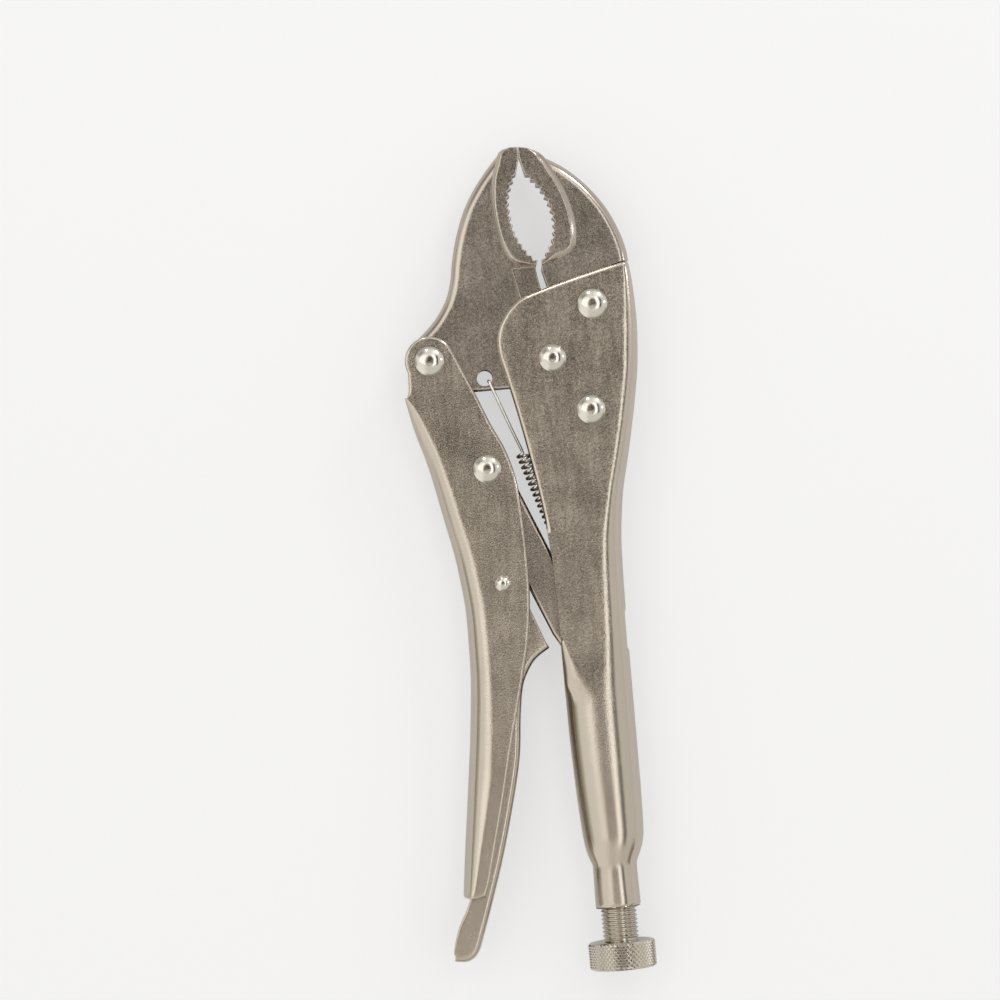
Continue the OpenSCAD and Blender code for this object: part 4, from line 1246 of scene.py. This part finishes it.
def thread_group():
    """A ridge of V section swept along a helix and joined to the core that comes in."""
    tree, given, result = modelling_group("screw_thread", [
        ("Core Radius", "Float", 4.9), ("Crest Radius", "Float", 5.55), ("Pitch", "Float", 1.27),
        ("Turns", "Float", 57.0), ("Start", "Float", 3.9), ("Points Per Turn", "Int", 48)])
    value = given.outputs
    rise = maths(tree, "MULTIPLY", value["Turns"], value["Pitch"])
    helix = feed(tree, "GeometryNodeCurveSpiral", Resolution=value["Points Per Turn"],
                 Rotations=value["Turns"], Start_Radius=value["Core Radius"],
                 End_Radius=value["Core Radius"], Height=rise)
    upright = feed(tree, "GeometryNodeSetCurveNormal", {"mode": "Z_UP"}, Curve=helix.outputs[0])
    height = maths(tree, "SUBTRACT", value["Core Radius"], value["Crest Radius"])
    low = maths(tree, "MULTIPLY", value["Pitch"], root_share)
    high = maths(tree, "MULTIPLY", value["Pitch"], crest_share)
    points = []
    for half, out, sign in ((low, sink, 1), (high, height, 1), (high, height, -1),
                            (low, sink, -1)):
        points.append(feed(tree, "ShaderNodeCombineXYZ", X=out,
                           Y=maths(tree, "MULTIPLY", half, sign)).outputs[0])
    ridge = feed(tree, "GeometryNodeCurvePrimitiveQuadrilateral", {"mode": "POINTS"})
    for k, point in enumerate(points):
        tree.links.new(point, ridge.inputs[f"Point {k + 1}"])
    swept = feed(tree, "GeometryNodeCurveToMesh", Curve=upright.outputs[0],
                 Profile_Curve=ridge.outputs[0], Fill_Caps=True)
    lift = feed(tree, "ShaderNodeCombineXYZ", Z=value["Start"])
    moved = feed(tree, "GeometryNodeTransform", Geometry=swept.outputs[0],
                 Translation=lift.outputs[0])
    both = feed(tree, "GeometryNodeJoinGeometry")
    tree.links.new(given.outputs["Geometry"], both.inputs[0])
    tree.links.new(moved.outputs[0], both.inputs[0])
    finish_group(tree, given, result, both.outputs[0])
    return tree


print("the crest is", 2 * crest_share, "of the pitch")

# %% Adjusting screw
screw_tip, screw_radius, core_radius, pitch, screw_segments = 102.3, 5.55, 4.9, 1.27, 96
tip_flat, tip_radius, tip_chamfer, tip_end, core_start = 3.35, 4.15, 0.8, 2.4, 3.5
knob_top, knob_length, knob_floor, spigot_radius, clearance = 180.0, 8.6, 1.9, 3.95, 0.1
near_axis, crest_ease, turn_steps = 0.02, 0.01, 48
screw_length = knob_top - screw_tip
spigot_end = screw_length + knob_length - knob_floor - clearance
screw_core = lathe([(near_axis, 0), (tip_flat, 0), (tip_radius, tip_chamfer),
                    (tip_radius, tip_end), (core_radius, core_start),
                    (core_radius, screw_length), (spigot_radius, screw_length),
                    (spigot_radius, spigot_end), (near_axis, spigot_end)], screw_segments)
thread_start = 4.2
turns = math.floor((screw_length - thread_start - clearance) / pitch * 4) / 4
thread_mesh = grown(thread_group(), carrier_mesh("screw_core", *screw_core), "screw_steel",
                    Core_Radius=core_radius, Crest_Radius=screw_radius - crest_ease, Pitch=pitch,
                    Turns=turns, Start=thread_start, Points_Per_Turn=turn_steps)
on_screw_axis(thread_mesh, screw_tip)
dress("adjusting_screw_threaded", thread_mesh, "screw_steel", "screw", ("adjusting_screw",), 30)
print("thread turns", turns, "faces", len(thread_mesh.polygons))

# %% [markdown]
# ## Knurled knob
# The knob is turned, then knurled: rows of small flat-topped diamonds stand on its rim, every
# second row half a step on. A real knurl is pressed in by two rollers. Here a line of points is
# numbered, each number gives a row and a column, and a four-sided cone is set on every point.

# %% Knurl group
def knurl_group():
    """Rows of diamonds round a rim, joined to the turned knob that comes in."""
    tree, given, result = modelling_group("diamond_knurl", [
        ("Radius", "Float", 9.9), ("Depth", "Float", 0.45), ("Around", "Int", 48),
        ("Rows", "Int", 9), ("Row Step", "Float", 0.8), ("Start", "Float", 1.0)])
    value = given.outputs
    count = maths(tree, "MULTIPLY", value["Around"], value["Rows"])
    line = feed(tree, "GeometryNodeMeshLine", Count=count)
    index = feed(tree, "GeometryNodeInputIndex").outputs[0]
    row = maths(tree, "FLOOR", maths(tree, "DIVIDE", index, value["Around"]))
    column = maths(tree, "MODULO", index, value["Around"])
    stagger = maths(tree, "MULTIPLY", maths(tree, "MODULO", row, 2.0), 0.5)
    angle = maths(tree, "MULTIPLY", maths(tree, "DIVIDE", maths(tree, "ADD", column, stagger),
                                          value["Around"]), 2 * math.pi)
    x = maths(tree, "MULTIPLY", maths(tree, "COSINE", angle), value["Radius"])
    y = maths(tree, "MULTIPLY", maths(tree, "SINE", angle), value["Radius"])
    z = maths(tree, "MULTIPLY_ADD", row, value["Row Step"], value["Start"])
    place = feed(tree, "ShaderNodeCombineXYZ", X=x, Y=y, Z=z)
    spots = feed(tree, "GeometryNodeSetPosition", Geometry=line.outputs[0],
                 Position=place.outputs[0])
    diamond = feed(tree, "GeometryNodeMeshCone", Vertices=4, Radius_Top=0.16, Radius_Bottom=1.0,
                   Depth=1.0)
    facing = feed(tree, "ShaderNodeCombineXYZ", Y=math.pi / 2, Z=angle)
    half_step = maths(tree, "DIVIDE", maths(tree, "MULTIPLY", value["Radius"], math.pi),
                      value["Around"])
    size = feed(tree, "ShaderNodeCombineXYZ", X=value["Row Step"], Y=half_step,
                Z=value["Depth"])
    studs = feed(tree, "GeometryNodeInstanceOnPoints", Points=spots.outputs[0],
                 Instance=diamond.outputs[0], Rotation=facing.outputs[0], Scale=size.outputs[0])
    both = feed(tree, "GeometryNodeJoinGeometry")
    tree.links.new(given.outputs["Geometry"], both.inputs[0])
    tree.links.new(studs.outputs[0], both.inputs[0])
    finish_group(tree, given, result, both.outputs[0])
    return tree


knurl = knurl_group()
print("knurl inputs:", len(knurl.interface.items_tree) - 1)

# %% Knurled knob
knob_radius, knurl_depth, knob_ease, knurl_sink = 10.4, 0.42, 0.05, 0.04
bore_gap, rim_gap, inner_chamfer, outer_chamfer = 0.06, 0.03, 0.14, 0.09
bore, inner_end = spigot_radius + bore_gap, knob_length - knob_floor
rim_radius, rim_start = knob_radius - knurl_depth - rim_gap, 0.62
face_radius, shoulder_radius = 8.9, 9.5
dish_radius, dish_foot, dish_depth, dish_middle = 7.2, 6.9, 0.35, 0.5
knob_turning = lathe([(near_axis, inner_end), (bore, inner_end), (bore, knob_ease),
                      (face_radius, knob_ease), (shoulder_radius, inner_chamfer),
                      (rim_radius, rim_start), (rim_radius, knob_length - rim_start),
                      (shoulder_radius, knob_length - outer_chamfer),
                      (face_radius, knob_length), (dish_radius, knob_length),
                      (dish_foot, knob_length - dish_depth),
                      (near_axis, knob_length - dish_middle)], screw_segments)
knurl_rows, row_step, around = 9, 0.82, 48
knurl_mesh = grown(knurl, carrier_mesh("knob_blank", *knob_turning), "screw_steel",
                   Radius=rim_radius - knurl_sink, Depth=knurl_depth, Around=around, Rows=knurl_rows,
                   Row_Step=row_step,
                   Start=(knob_length + knob_ease - row_step * (knurl_rows - 1)) / 2)
on_screw_axis(knurl_mesh, knob_top)
dress("knurled_knob_cut", knurl_mesh, "screw_steel", "knob", ("knurled_knob",), 25)
print("knurl diamonds", around * knurl_rows, "faces", len(knurl_mesh.polygons))

# %% [markdown]
# ## Spring
# The spring's wire follows one path: through the jaw's hole, over the jaw's face, down a straight
# end into close coils, and through the flap. The coils are a formula and the two hooks are short
# runs of points, so a group only has to sweep a circle along them.

# %% Wire group
def wire_group():
    """A round wire swept along the curve that comes in, closed at both ends."""
    tree, given, result = modelling_group("round_wire", [
        ("Radius", "Float", 0.45), ("Sides", "Int", 12)])
    circle = feed(tree, "GeometryNodeCurvePrimitiveCircle", Resolution=given.outputs["Sides"],
                  Radius=given.outputs["Radius"])
    swept = feed(tree, "GeometryNodeCurveToMesh", Curve=given.outputs["Geometry"],
                 Profile_Curve=circle.outputs[0], Fill_Caps=True)
    finish_group(tree, given, result, swept.outputs[0])
    return tree


wire_tree = wire_group()
print("wire inputs:", len(wire_tree.interface.items_tree) - 1)

# %% Spring path
wire_radius, coil_radius, coils, coil_steps = 0.45, 1.95, 26, 24
spring_tab = np.array([4.6, -78.5])
coils_top, coils_bottom = np.array([-11.5, -28.2]), spring_tab + (-1.6, 5.2)
face_gap = 0.15
over_face = moving_half + wire_radius + face_gap
spring_run = coils_bottom - coils_top
spring_length = np.linalg.norm(spring_run)
spring_along = spring_run / spring_length
spring_across = np.array([-spring_along[1], spring_along[0]])
turn = np.linspace(0, coils, coils * coil_steps + 1)
turn_angle = math.pi / 2 + 2 * math.pi * turn
coil_points = np.column_stack([
    coils_top + spring_run * (turn / coils)[:, None]
    + coil_radius * np.cos(turn_angle)[:, None] * spring_across, coil_radius * np.sin(turn_angle)])
hook = spring_hole + (1.2, -1.0)
upper_hook = smooth([[*hook, -3.0], [*hook, 0], [*hook, over_face - 1.2],
                     [*(spring_hole + (1.45, -1.5)), over_face - 0.15],
                     [*(spring_hole + (1.9, -2.8)), over_face],
                     [*(spring_hole + (3.2, -6.2)), over_face],
                     [*(spring_hole + (6.6, -15.5)), over_face - 1.4],
                     [*(coils_top - 1.2 * spring_along), coil_radius + 0.2]], 6)
lower_hook = smooth([[*(coils_bottom + 0.6 * spring_along), coil_radius],
                     [*(spring_tab + (-0.3, 3.4)), 1.0], [*(spring_tab + (0, 2.2)), 0.1],
                     [*spring_tab, 0], [*(spring_tab + (0, -2.2)), 0]], 6)
spring_path = np.vstack([upper_hook, coil_points, lower_hook])
print("spring path", len(spring_path), "points, coils", round(spring_length, 1), "mm long")

# %% Spring
wire = bpy.data.curves.new("spring_path", "CURVE")
wire.dimensions = "3D"
run = wire.splines.new("POLY")
run.points.add(len(spring_path) - 1)
run.points.foreach_set("co", np.column_stack([spring_path, np.ones(len(spring_path))]).ravel())
wire_mesh = grown(wire_tree, bpy.data.objects.new("spring_path", wire), "spring_wire",
                  Radius=wire_radius, Sides=12)
wire_mesh.transform(Matrix.Translation(Vector(jaw_pivot)) @ Matrix.Scale(MM, 4))
spring = dress("jaw_spring_wound", wire_mesh, "spring_wire", "fixed_side", ("jaw_spring",), 60)
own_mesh(spring)
print("spring faces", len(wire_mesh.polygons))

# %% [markdown]
# The lower hook goes through a small flap, struck from the handle's own sheet and bent inwards.
# It is a plate like the jaws, laid out flat and then stood across the handle.

# %% Spring tab
flap_tip, flap_root, flap_half, flap_width = 3.0, 14.2, 1.0, 2.5
flap_corner, flap_edge, flap_hole = 0.8, 0.25, 0.7
flap_outline = [[flap_tip + flap_corner, -flap_width], [flap_root, -flap_width],
                [flap_root, flap_width], [flap_tip + flap_corner, flap_width],
                [flap_tip, flap_width - flap_corner], [flap_tip, -flap_width + flap_corner]]
flap, flap_faces = plate(flap_outline, flap_half,
                         rounded_levels(np.full(len(flap_outline), flap_edge), 3),
                         holes=[((spring_tab[0], 0), flap_hole)])
new_piece("spring_tab_flap", np.column_stack([flap[:, 0], spring_tab[1] + flap[:, 2], flap[:, 1]]),
          flap_faces, "pressed_steel", "fixed_side")
print("tab from", flap_tip, "to", flap_root)
